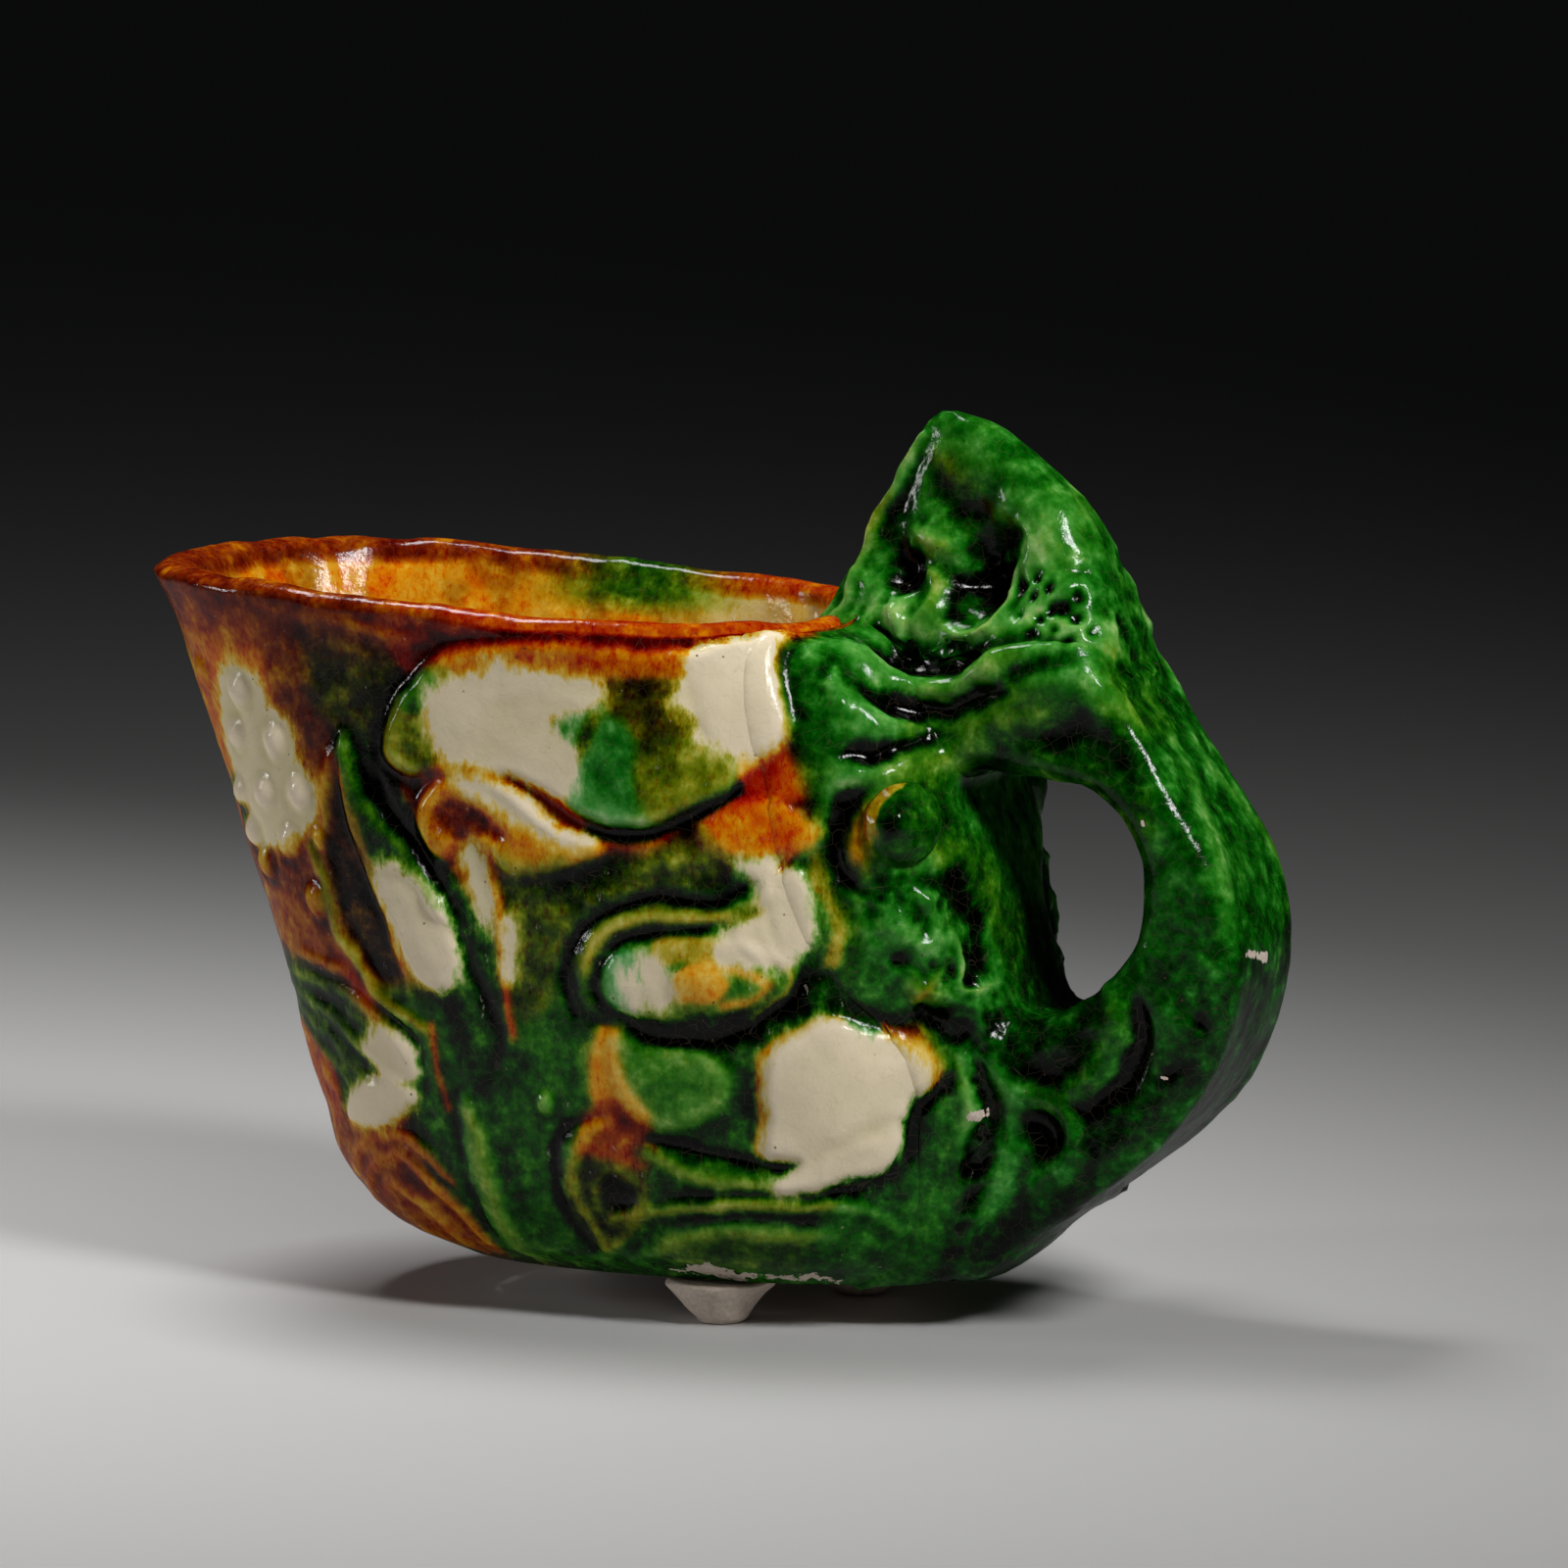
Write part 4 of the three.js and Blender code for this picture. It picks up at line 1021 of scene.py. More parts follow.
# %% Cheek, waves, feathers and curls
CHEEK_PX = [
    (784, 1090), (801, 1066), (826, 1050), (856, 1043), (891, 1048), (925, 1052), (946, 1068),
    (951, 1088), (943, 1106), (927, 1120), (920, 1140), (914, 1152), (919, 1168), (906, 1186),
    (870, 1203), (829, 1217), (800, 1218), (800, 1206), (818, 1190), (796, 1184), (783, 1180),
    (785, 1148), (781, 1118),
]
CHEEK_FORMS = (
    (wall_field, 1.2, 1.3, 0.8, CHEEK_PX),
    (wall_line, 1.3, -0.6, [(827, 1188), (869, 1161), (912, 1144)]),
    (wall_line, 1.1, -1.4, [(905, 1034), (940, 1041), (963, 1058), (967, 1086), (955, 1110), (936, 1132),
        (930, 1160), (936, 1184)]),
    (wall_line, 1.0, -0.7, [(770, 1085), (766, 1120), (768, 1150), (772, 1174)]),
    (wall_field, 0.9, 1.8, [(622, 1050), (660, 1060), (700, 1067), (738, 1088), (744, 1112), (728, 1138),
        (690, 1152), (652, 1142), (630, 1112)]),
    (wall_line, 1.4, 0.5, [(604, 1050), (612, 1090), (625, 1130)]),
    (wall_line, 1.1, -1.2, [(662, 1160), (692, 1166), (728, 1175), (762, 1184), (798, 1193), (818, 1190)]),
    (wall_line, 0.8, 0.8, [(656, 1176), (686, 1188), (723, 1202), (762, 1209), (797, 1215)]),
    (wall_line, 0.8, -1.0, [(664, 1226), (706, 1219), (756, 1219), (812, 1224), (857, 1218), (895, 1203),
        (917, 1180)]),
    (wall_line, 0.7, 0.9, [(622, 1249), (658, 1234), (700, 1228), (742, 1228), (798, 1232), (855, 1231),
        (891, 1236), (921, 1257)]),
    (wall_line, 0.8, -0.9, [(653, 1250), (686, 1244), (728, 1241), (784, 1244), (835, 1249), (883, 1263)]),
    (wall_line, 0.9, 0.9, [(648, 1286), (686, 1268), (717, 1258), (751, 1253), (784, 1260), (824, 1260),
        (857, 1255), (897, 1271)]),
    (wall_line, 0.9, -1.3, [(614, 1138), (592, 1142), (576, 1156), (567, 1176), (566, 1200), (571, 1226),
        (586, 1251), (604, 1274)]),
    (wall_line, 0.6, 0.9, [(624, 1144), (604, 1150), (590, 1166), (583, 1187), (587, 1214), (600, 1236),
        (610, 1258), (622, 1274), (644, 1258), (656, 1240)]),
    (wall_dome, 1.8, -0.6, (630, 1218)),
    (wall_dome, 0.95, 0.8, (557, 1127)),
    (wall_line, 0.4, -0.5, [(574, 1134), (560, 1142), (544, 1132)]),
    (wall_line, 1.3, 1.1, [(472, 1130), (484, 1158), (492, 1187), (500, 1214), (511, 1241), (527, 1265),
        (554, 1285)]),
    (wall_line, 0.45, -0.6, [(508, 1202), (560, 1190)]),
    (wall_line, 0.45, -0.6, [(516, 1226), (560, 1214)]),
    (wall_line, 0.45, -0.6, [(532, 1248), (568, 1236)]),
    (wall_line, 0.45, -0.6, [(500, 1180), (530, 1172)]),
    (wall_line, 0.9, -0.9, [(470, 1100), (462, 1140), (470, 1180), (482, 1220), (500, 1256)]),
)
press(CHEEK_FORMS)

FEATHERS_PX = (
    [(294, 982), (345, 1008), (385, 1037), (420, 1080)],
    [(296, 1000), (332, 1029), (358, 1059), (399, 1093)],
    [(303, 1018), (337, 1056), (361, 1088), (380, 1105)],
    [(314, 1045), (350, 1091), (362, 1115)],
    [(328, 1078), (346, 1112), (352, 1130)],
    [(300, 966), (330, 980), (362, 1004)],
)
FEATHER_GROOVE_STEP_PX = (8, -7)  # a groove runs beside each ridge
for feather in FEATHERS_PX:
    relief += wall_line(feather, 0.55, 0.6)
    relief += wall_line(np.array(feather) + FEATHER_GROOVE_STEP_PX, 0.45, -0.55)
PETAL_FORMS = (
    (wall_field, 0.5, 1.0, [(372, 1060), (392, 1048), (414, 1060), (425, 1082), (424, 1100), (404, 1100),
        (385, 1086)]),
    (wall_field, 0.8, 1.1, 0.3, [(362, 1110), (384, 1099), (406, 1098), (421, 1110), (420, 1126),
        (404, 1144), (380, 1148), (361, 1140)]),
)
press(PETAL_FORMS)

CURLS_PX = (
    [(383, 1224), (376, 1198), (388, 1180), (409, 1177), (427, 1193), (452, 1217), (476, 1242),
        (502, 1268)],
    [(392, 1218), (399, 1207), (420, 1217), (444, 1238), (471, 1261), (500, 1282)],
    [(364, 1196), (368, 1172), (390, 1158), (418, 1163), (440, 1182), (462, 1206)],
)
CURL_GROOVE_STEP_PX = (6, -8)
for curl in CURLS_PX:
    relief += wall_line(curl, 0.6, 0.75)
    relief += wall_line(np.array(curl) + CURL_GROOVE_STEP_PX, 0.5, -0.5)
print("cheek and waves:", len(CHEEK_FORMS), "forms,", len(FEATHERS_PX), "feathers,", len(CURLS_PX), "curls")

# %% Rim lines, the head's edge and the hand's unevenness
RIM_FORMS = (
    (wall_line, 0.5, 0.5, [(262, 618), (296, 626), (346, 635), (380, 645), (411, 651), (445, 652)]),
    (wall_line, 0.6, -0.8, [(440, 655), (505, 653), (560, 651), (620, 651), (705, 658)]),
    (wall_line, 0.8, 0.5, [(425, 641), (505, 640), (600, 640), (715, 646)]),
    (wall_line, 0.5, 0.35, [(425, 628), (560, 630), (740, 634)]),
    (wall_line, 1.0, -1.2, [(824, 668), (816, 700), (830, 735), (852, 758), (870, 776)]),
    (wall_line, 1.0, -1.1, [(846, 800), (840, 850), (846, 892), (864, 938), (884, 964)]),
    (wall_line, 1.0, 0.6, [(832, 780), (850, 790), (838, 820)]),
)
press(RIM_FORMS)
WALL_LUMPS = (0.30, 9.0, 1), (0.12, 3.6, 2), (0.05, 1.3, 3)
FOOT_FADE, RIM_FADE = 3.0, 5.0  # the relief fades out over these heights
lump = clouds(skin, *WALL_LUMPS)
fade = ease((chart[..., 1] - BASE_Z) / FOOT_FADE) * ease((RIM_Z + RIM_RISE - chart[..., 1]) / RIM_FADE)
relief = blur(relief, 2)
print("relief from", round(relief.min(), 2), "to", round(relief.max(), 2), "mm")

# %% [markdown]
# ## Painting the wall
# The potter daubed the glazes on freely. Each patch is drawn through pixels of the photograph, like
# the relief, and moves the amounts towards its own by a share that is soft at its edge. Cream places
# were left without a coloured glaze, so only the distance to their edge is kept. The dark streaks
# under the ear and under the eye also carry painted shade.

# %% Tools for painting
outer_paint = blank_paint(chart)
outer_paint["iron"] += 1.2
outer_paint["cream"] += NO_CREAM


def patch(pixels, soft, iron=None, copper=None, smoke=0.0):
    """A daub inside an outline, fading over a soft width in millimetres."""
    share = ease(depth_inside(pixels, soft) / soft + 0.5)
    paint_on(outer_paint, share, iron=iron, copper=copper, smoke=smoke)


def streak(pixels, width, iron=None, copper=None, smoke=0.0):
    """A run of glaze along a line, fading by exp(-(distance/width)^2); the two dark streaks under the ear
    and the eye also paint shade.
    """
    paint_on(outer_paint, line_share(pixels, width), iron=iron, copper=copper, smoke=smoke)


def left_off(key, pixels, reach):
    """A place left cream or bare: the signed distance to its outline, held within a reach."""
    depth = np.clip(depth_inside(pixels, reach), -reach, reach)
    outer_paint[key] = np.maximum(outer_paint[key], depth)


def daub(table):
    """Lay daubs in order; a row is a tool, its width, its iron, copper and smoke, and its pixels."""
    for tool, width, *amounts, pixels in table:
        tool(pixels, width, *amounts)


print("the wall starts with", outer_paint["iron"].max(), "coats of iron")

# %% Daubs on the near wall
drift = cloud(skin, 11.0, 5)
paint_on(outer_paint, ease(0.5 + drift), iron=1.4, copper=0.15, smoke=0.25)
SPOUT_DAUBS = (
    (patch, 5.0, 0.3, 1.25, [(392, 1010), (470, 1010), (520, 900), (700, 880), (860, 860), (880, 1310),
        (560, 1330), (470, 1300), (430, 1230), (420, 1130)]),
    (patch, 2.5, 0.75, None, 0.1, [(150, 560), (345, 606), (350, 690), (330, 760), (300, 740), (270, 668),
        (228, 662), (215, 700), (240, 800), (232, 830), (190, 790)]),
    (patch, 3.0, 1.35, 0.15, 0.5, [(262, 600), (345, 606), (372, 640), (356, 700), (322, 770), (290, 730),
        (270, 668)]),
    (patch, 3.0, 1.1, 0.75, [(312, 640), (400, 660), (408, 700), (396, 760), (372, 772), (340, 740),
        (318, 712)]),
    (patch, 1.6, 2.1, 0.0, 0.1, [(420, 640), (800, 640), (800, 690), (640, 676), (480, 684), (430, 700)]),
    (patch, 2.0, 1.5, 0.15, 0.4, [(255, 860), (300, 870), (335, 910), (345, 960), (320, 985), (285, 975)]),
    (patch, 1.5, 1.1, [(262, 905), (300, 915), (325, 950), (330, 975), (298, 968)]),
    (patch, 2.5, 0.7, 0.9, [(280, 975), (330, 990), (370, 1030), (392, 1075), (372, 1120), (345, 1130),
        (310, 1050)]),
    (patch, 1.5, 1.25, 0.1, [(300, 1040), (335, 1075), (350, 1110), (352, 1160), (330, 1110)]),
    (patch, 1.5, 1.45, 0.5, 0.3, [(334, 850), (366, 800), (384, 900), (402, 950), (404, 1000), (372, 980),
        (345, 930)]),
    (patch, 1.8, 0.9, 2.2, [(345, 750), (372, 760), (398, 800), (430, 850), (470, 930), (480, 1000),
        (505, 1060), (500, 1120), (478, 1100), (452, 1010), (440, 930), (400, 870), (372, 830)]),
    (patch, 1.0, 1.1, 2.3, [(376, 820), (410, 855), (440, 900), (466, 944), (448, 925), (405, 884),
        (384, 884)]),
    (patch, 0.8, 1.1, 0.3, [(330, 800), (345, 790), (352, 830), (372, 900), (352, 870), (333, 850)]),
    (streak, 0.8, 0.7, 0.45, [(320, 866), (330, 890), (343, 945), (360, 975), (390, 1016), (430, 1045)]),
    (streak, 0.8, 1.2, 0.1, [(388, 905), (400, 935), (409, 965)]),
    (streak, 0.8, 0.6, 1.8, [(385, 767), (404, 822), (443, 883), (490, 943), (500, 1020), (500, 1090)]),
)
daub(SPOUT_DAUBS)

EAR_DAUBS = (
    (patch, 1.2, 0.9, 0.8, [(400, 716), (440, 678), (470, 690), (440, 725), (446, 775), (420, 790),
        (398, 764)]),
    (patch, 0.9, 0.7, 2.0, [(411, 700), (436, 684), (452, 694), (436, 724), (414, 722)]),
    (patch, 1.0, 0.2, 1.25, [(572, 735), (604, 724), (640, 700), (700, 698), (738, 722), (752, 780),
        (735, 812), (690, 836), (630, 850), (586, 820), (590, 780), (570, 748)]),
    (patch, 1.8, 0.75, 0.65, [(640, 712), (700, 705), (745, 730), (752, 785), (716, 822), (672, 838),
        (650, 800), (652, 750)]),
    (patch, 1.2, 1.2, 0.7, 0.15, [(618, 698), (660, 694), (716, 702), (716, 744), (668, 752), (628, 738)]),
    (patch, 1.4, 0.05, 1.15, [(584, 738), (640, 736), (650, 790), (640, 842), (588, 818)]),
    (patch, 1.4, 0.8, 0.0, [(757, 770), (800, 756), (838, 770), (838, 808), (800, 816), (762, 812)]),
    (patch, 1.4, 1.25, 0.0, [(712, 839), (740, 812), (779, 812), (813, 826), (838, 853), (800, 876),
        (743, 876)]),
    (patch, 1.2, 1.3, 0.5, [(684, 858), (712, 842), (743, 880), (735, 902), (694, 900)]),
    # a dark streak along the ear's lower edge: painted shadow under the ear, over its groove
    (streak, 0.5, 0.8, 1.4, [(600, 850), (640, 855), (695, 838), (728, 824), (752, 800)]),
    (patch, 2.0, 0.75, 0.7, [(505, 905), (520, 890), (600, 890), (680, 862), (735, 880), (720, 905),
        (650, 915), (600, 935), (575, 985), (565, 1030), (530, 1040), (522, 960)]),
    (patch, 1.8, 0.5, 1.8, [(432, 870), (455, 880), (500, 985), (535, 1060), (520, 1120), (490, 1100),
        (470, 1010), (450, 940)]),
    (patch, 1.0, 1.0, 0.05, [(428, 800), (446, 792), (500, 784), (545, 812), (606, 852), (612, 876),
        (560, 884), (510, 880), (492, 850), (462, 874), (436, 860)]),
    (patch, 1.0, 1.7, 0.15, 0.3, [(440, 822), (486, 818), (498, 850), (462, 852), (446, 862)]),
    (streak, 1.0, 0.8, 0.55, [(504, 873), (546, 889), (577, 881)]),
    (streak, 0.8, 1.6, 0.0, 0.2, [(501, 870), (507, 906), (510, 943), (513, 974), (518, 1010),
        (523, 1056)]),
    (streak, 0.6, 1.2, [(612, 730), (560, 800), (450, 780)]),
)
daub(EAR_DAUBS)

EYE_DAUBS = (
    (patch, 1.0, 0.75, 0.75, [(588, 1030), (580, 975), (604, 936), (660, 915), (740, 925), (785, 912),
        (780, 940), (700, 944), (640, 958), (610, 990), (606, 1035)]),
    (streak, 0.32, 1.0, 1.35, [(583, 1018), (580, 985), (590, 955), (612, 937), (640, 922), (673, 913),
        (701, 918), (729, 920), (764, 900)]),
    (streak, 0.5, 0.5, 0.3, [(606, 1032), (599, 1000), (602, 970), (622, 950), (660, 935), (701, 935),
        (743, 934)]),
    (patch, 0.9, 0.0, 1.1, [(612, 975), (650, 970), (652, 1030), (618, 1030)]),
    (patch, 1.0, 0.55, 0.25, [(667, 954), (700, 950), (745, 958), (750, 985), (700, 978), (672, 985)]),
    (patch, 0.8, 0.5, 0.8, [(656, 1016), (715, 1020), (722, 1036), (664, 1038)]),
    (patch, 0.8, 0.7, 0.0, [(686, 1002), (700, 982), (730, 980), (748, 1002), (730, 1024), (698, 1022)]),
    (streak, 0.8, 0.8, 0.0, [(729, 984), (760, 990), (780, 1004), (768, 1022), (740, 1026)]),
    # a wide dark band under the eye: dark glaze in its groove, and painted shade below the eye
    (streak, 1.5, 1.1, 2.0, [(594, 1010), (606, 1045), (650, 1058), (700, 1066), (760, 1052), (792, 1032),
        (818, 1004)]),
    (streak, 0.5, 0.45, 0.3, [(786, 972), (804, 990), (798, 1014), (768, 1040)]),
    (streak, 0.7, 1.4, 0.0, 0.1, [(807, 858), (799, 887), (790, 909), (785, 932), (791, 965)]),
    (patch, 1.0, 0.45, 0.25, [(827, 868), (850, 880), (860, 975), (838, 985), (846, 940), (828, 900)]),
)
daub(EYE_DAUBS)

CHEEK_DAUBS = (
    (patch, 2.0, 0.42, 0.0, [(604, 1046), (634, 1048), (655, 1072), (660, 1106), (672, 1138), (636, 1150),
        (606, 1136), (600, 1092)]),
    (patch, 1.8, 1.3, 0.1, 0.1, [(596, 1130), (640, 1126), (666, 1146), (668, 1186), (640, 1206),
        (604, 1204), (586, 1180), (590, 1150)]),
    (patch, 1.8, 0.25, 1.05, [(636, 1056), (700, 1066), (742, 1086), (748, 1130), (700, 1140),
        (650, 1110)]),
    (patch, 1.8, 0.3, 1.9, [(880, 1110), (966, 1090), (962, 1200), (900, 1250), (866, 1236)]),
    (patch, 1.2, 0.5, 0.05, [(768, 1084), (796, 1056), (850, 1036), (900, 1040), (950, 1056), (962, 1086),
        (948, 1112), (900, 1120), (800, 1190), (772, 1188), (768, 1130)]),
    (patch, 0.8, 0.1, 0.9, [(862, 1040), (896, 1040), (898, 1062), (880, 1070), (864, 1060)]),
    (streak, 0.5, 0.8, 1.4, [(664, 1160), (692, 1166), (728, 1175), (762, 1184), (800, 1193)]),
    (streak, 0.9, 0.5, 0.8, [(658, 1176), (686, 1188), (723, 1202), (762, 1209), (798, 1215)]),
    (streak, 0.9, 0.6, 0.65, [(625, 1249), (700, 1229), (798, 1233), (891, 1236), (919, 1256)]),
    (streak, 0.4, 0.8, 1.4, [(667, 1226), (756, 1220), (857, 1218), (905, 1196)]),
    (patch, 1.4, 0.45, 0.8, [(672, 1262), (720, 1250), (850, 1256), (900, 1272), (880, 1296), (700, 1292)]),
    (patch, 1.2, 1.0, 0.8, [(574, 1190), (600, 1180), (660, 1200), (656, 1250), (616, 1275), (584, 1240)]),
    (streak, 0.45, 0.9, 1.6, [(581, 1146), (567, 1171), (565, 1200), (571, 1226), (590, 1255)]),
    (streak, 1.2, 0.35, 0.75, [(474, 1136), (484, 1158), (492, 1187), (500, 1214), (511, 1241),
        (540, 1275)]),
    (patch, 1.8, 1.05, 0.15, [(348, 1150), (384, 1146), (412, 1146), (440, 1190), (500, 1260), (520, 1290),
        (440, 1275), (392, 1240), (362, 1190)]),
)
daub(CHEEK_DAUBS)

for curl in CURLS_PX:
    streak(curl, 0.7, iron=1.3, copper=0.1, smoke=0.1)
HEAD_EDGE_DAUBS = (
    (streak, 0.7, 1.4, 0.1, 0.1, [(441, 1046), (446, 1080), (455, 1130)]),
    (patch, 1.4, 0.2, 1.35, [(822, 640), (832, 700), (840, 756), (852, 800), (858, 880), (872, 960),
        (868, 1010), (900, 1034), (962, 1046), (976, 1090), (950, 1130), (930, 1190), (860, 1226),
        (840, 1330), (1200, 1330), (1100, 600), (850, 600)]),
)
daub(HEAD_EDGE_DAUBS)

DARK_GRAPES_PX = [(208, 687), (247, 806)]
DAB_STEP_PX = (1, 1)  # a dab is a very short streak
for grape in DARK_GRAPES_PX:
    streak([grape, np.array(grape) + DAB_STEP_PX], 1.4, iron=1.6, smoke=0.4)

CREAM_PX = (
    [(236, 676), (258, 688), (272, 722), (292, 745), (306, 776), (319, 808), (318, 834), (306, 852),
        (275, 864), (257, 848), (257, 826), (240, 788), (229, 749), (223, 713), (227, 688)],
    [(385, 888), (405, 884), (425, 898), (444, 915), (458, 933), (469, 960), (471, 985), (465, 1003),
        (452, 1008), (436, 1001), (423, 994), (418, 974), (408, 950), (396, 927), (388, 906)],
    [(452, 703), (468, 691), (501, 688), (515, 672), (530, 684), (555, 683), (585, 693), (611, 701),
        (615, 713), (600, 724), (571, 735), (569, 746), (588, 766), (590, 788), (582, 812), (566, 809),
        (513, 787), (490, 773), (452, 768), (446, 741), (443, 713)],
    [(470, 796), (484, 792), (538, 816), (566, 842), (600, 852), (602, 858), (566, 852), (541, 838),
        (504, 815), (480, 804)],
    [(474, 868), (488, 862), (500, 884), (503, 945), (495, 940), (482, 900)],
    [(515, 940), (522, 940), (526, 990), (518, 990)],
    [(691, 713), (703, 666), (729, 657), (757, 648), (793, 655), (797, 676), (809, 690), (812, 738),
        (799, 754), (768, 768), (743, 768), (717, 754), (712, 738), (699, 724)],
    [(752, 884), (770, 880), (795, 882), (789, 897), (812, 889), (823, 903), (827, 935), (830, 950),
        (806, 977), (786, 982), (742, 980), (738, 950), (764, 940), (778, 930), (772, 905)],
    [(655, 980), (672, 978), (688, 1000), (688, 1018), (658, 1018)],
    [(638, 992), (650, 990), (652, 1026), (640, 1028)],
    [(784, 1090), (801, 1068), (826, 1051), (852, 1043), (869, 1052), (891, 1061), (899, 1056), (914, 1064),
        (929, 1076), (938, 1090), (936, 1104), (926, 1117), (921, 1137), (914, 1148), (917, 1162),
        (913, 1176), (890, 1192), (857, 1206), (829, 1215), (801, 1217), (794, 1213), (807, 1199),
        (817, 1189), (798, 1181), (783, 1181), (785, 1148), (782, 1120)],
    [(386, 1046), (404, 1054), (420, 1070), (425, 1094), (414, 1104), (400, 1097), (386, 1084),
        (374, 1064)],
    [(364, 1106), (385, 1099), (405, 1099), (418, 1109), (422, 1121), (411, 1130), (397, 1145), (380, 1145),
        (362, 1139), (359, 1120)],
)
for place in CREAM_PX:
    left_off("cream", place, -NO_CREAM)
GRAPE_RUN_PX = [(240, 800), (247, 812), (252, 835)]
streak(GRAPE_RUN_PX, 1.2, copper=0.7, iron=0.3)

BARE_PX = (
    [(418, 1249), (440, 1256), (462, 1268), (490, 1281), (500, 1292), (470, 1290), (438, 1272)],
    [(668, 1300), (700, 1289), (720, 1285), (742, 1292), (786, 1299), (824, 1296), (852, 1302), (880, 1312),
        (860, 1330), (690, 1330)],
)
BARE_REACH = 3.0
for place in BARE_PX:
    left_off("bare", place, BARE_REACH)
print("wall painted:", len(CREAM_PX), "cream places and", len(BARE_PX), "bare ones")

# %% [markdown]
# ## The head's front, the trunk and the crest
# Three more grids. The head's clay was laid over the back of the two halves, so its sheet ends a
# little inside the wall. The strap is a rounded oblong carried along its path, and the crest is a
# stack of level outlines that shrink towards the tip.

# %% Grids of the head, the crest and the trunk
def rounded_in(depth, radius):
    """How far a rounded edge lies inside a square one, at a depth below its top."""
    d = np.clip(depth, 0, radius)
    return radius - np.sqrt(radius**2 - (radius - d) ** 2)


def pressed(points, gap, depth, rounds=5):
    """Points pushed along the slope of a gap function until they lie at a depth inside it."""
    for _ in range(rounds):
        slope = slope_of(gap, points)
        length2 = np.maximum((slope**2).sum(-1), 0.3)
        points = points - ((gap(points) + depth) / length2)[..., None] * slope
    return points


HEAD_ROWS, HEAD_COLUMNS = 172, 230
HEAD_TURNS, HEAD_LAST_TURN = 260, 200
HEAD_TOP_ROUND = 2.2
HEAD_TOP_ROWS, HEAD_TOP_BULGE = 22, 0.5
HIDDEN_STEP = 6  # the hidden inside takes every sixth row
CLAY_DEPTH = 2.0  # hidden edges lie this deep in the wall


def head_grid():
    """Outside of the head from one side of the wall to the other, its top, and its hidden inside."""
    z = np.linspace(HEAD_BOTTOM, HEAD_TOP, HEAD_ROWS)
    back, half = head_section(z)
    inset = rounded_in(HEAD_TOP - z, HEAD_TOP_ROUND)
    along, across = oval(np.linspace(0, np.pi, HEAD_TURNS), HEAD_POWER)
    middle, reach = (HEAD_CORE + back) / 2, (back - HEAD_CORE) / 2
    x = MIDDLE_X + middle[:, None] + (reach - inset)[:, None] * along
    y = -(half - inset)[:, None] * across
    dense = np.stack([x, y, np.broadcast_to(z[:, None], x.shape)], -1)
    sunk = wall_gap(dense) < -CLAY_DEPTH
    last = np.where(sunk.any(1), sunk.argmax(1), HEAD_LAST_TURN).astype(float)
    for _ in range(12):
        last = np.convolve(np.pad(last, 1, "edge"), (0.25, 0.5, 0.25), "valid")
    rows = []
    for row, end in zip(dense, last):
        line = even_steps(row[:int(end) + 1], HEAD_COLUMNS // 2 + 1)
        rows.append(np.concatenate([line[::-1], line[1:] * (1, -1, 1)]))
    outside = np.array(rows)
    inner = pressed(outside[-1], wall_gap, CLAY_DEPTH)
    s = np.linspace(0, 1, HEAD_TOP_ROWS)[1:, None, None]
    bulge = np.array((0, 0, 1)) * HEAD_TOP_BULGE * np.sin(np.pi * s)
    top = outside[-1] * (1 - s) + inner * s + bulge
    hidden = pressed(outside[::-HIDDEN_STEP], wall_gap, CLAY_DEPTH)[1:]
    return np.concatenate([outside, top, hidden]), len(outside) + len(top)


CORNER_POINTS = 9
FLAT_POINTS = (24, 48)  # through the strap's thickness, and across its width


def strap_outline():
    """Four rounded corners joined by flats: each point as corner signs and a direction outwards."""
    corners = ((1, 1), (-1, 1), (-1, -1), (1, -1))
    parts = []
    for quarter, (start, end) in enumerate(zip(corners, corners[1:] + corners[:1])):
        turn = np.linspace(0, np.pi / 2, CORNER_POINTS) + quarter * np.pi / 2
        round_off = np.stack([np.cos(turn), np.sin(turn)], -1)
        parts.append(np.concatenate([np.broadcast_to(start, round_off.shape), round_off], axis=1))
        flat = np.linspace(start, end, FLAT_POINTS[quarter % 2])[1:-1]
        square = (np.array(start) + end) / 2
        parts.append(np.concatenate([flat, np.broadcast_to(square, flat.shape)], axis=1))
    return np.concatenate(parts)


def trunk_grid():
    """The strap: a rounded oblong carried along its middle line, square to the two edges."""
    loop = strap_outline()
    way = trunk_outer - trunk_inner
    way /= np.linalg.norm(way, axis=1, keepdims=True)
    a = (trunk_reach[:, None] - STRAP_ROUND) * loop[None, :, 0] + STRAP_ROUND * loop[None, :, 2]
    b = (TRUNK_HALF - STRAP_ROUND) * loop[:, 1] + STRAP_ROUND * loop[:, 3]
    side = trunk_middle[:, None, :] + a[..., None] * way[:, None, :]
    return np.stack([side[..., 0], np.broadcast_to(b, a.shape), side[..., 1]], -1)


CREST_ROWS, CREST_COLUMNS = 96, 232
CREST_OVAL = 2.3
CREST_TURNS = 4001
CREST_SPACING = (14, 7)  # rough half sizes, so that the columns stand evenly
TIP_CROWDING = 1.35


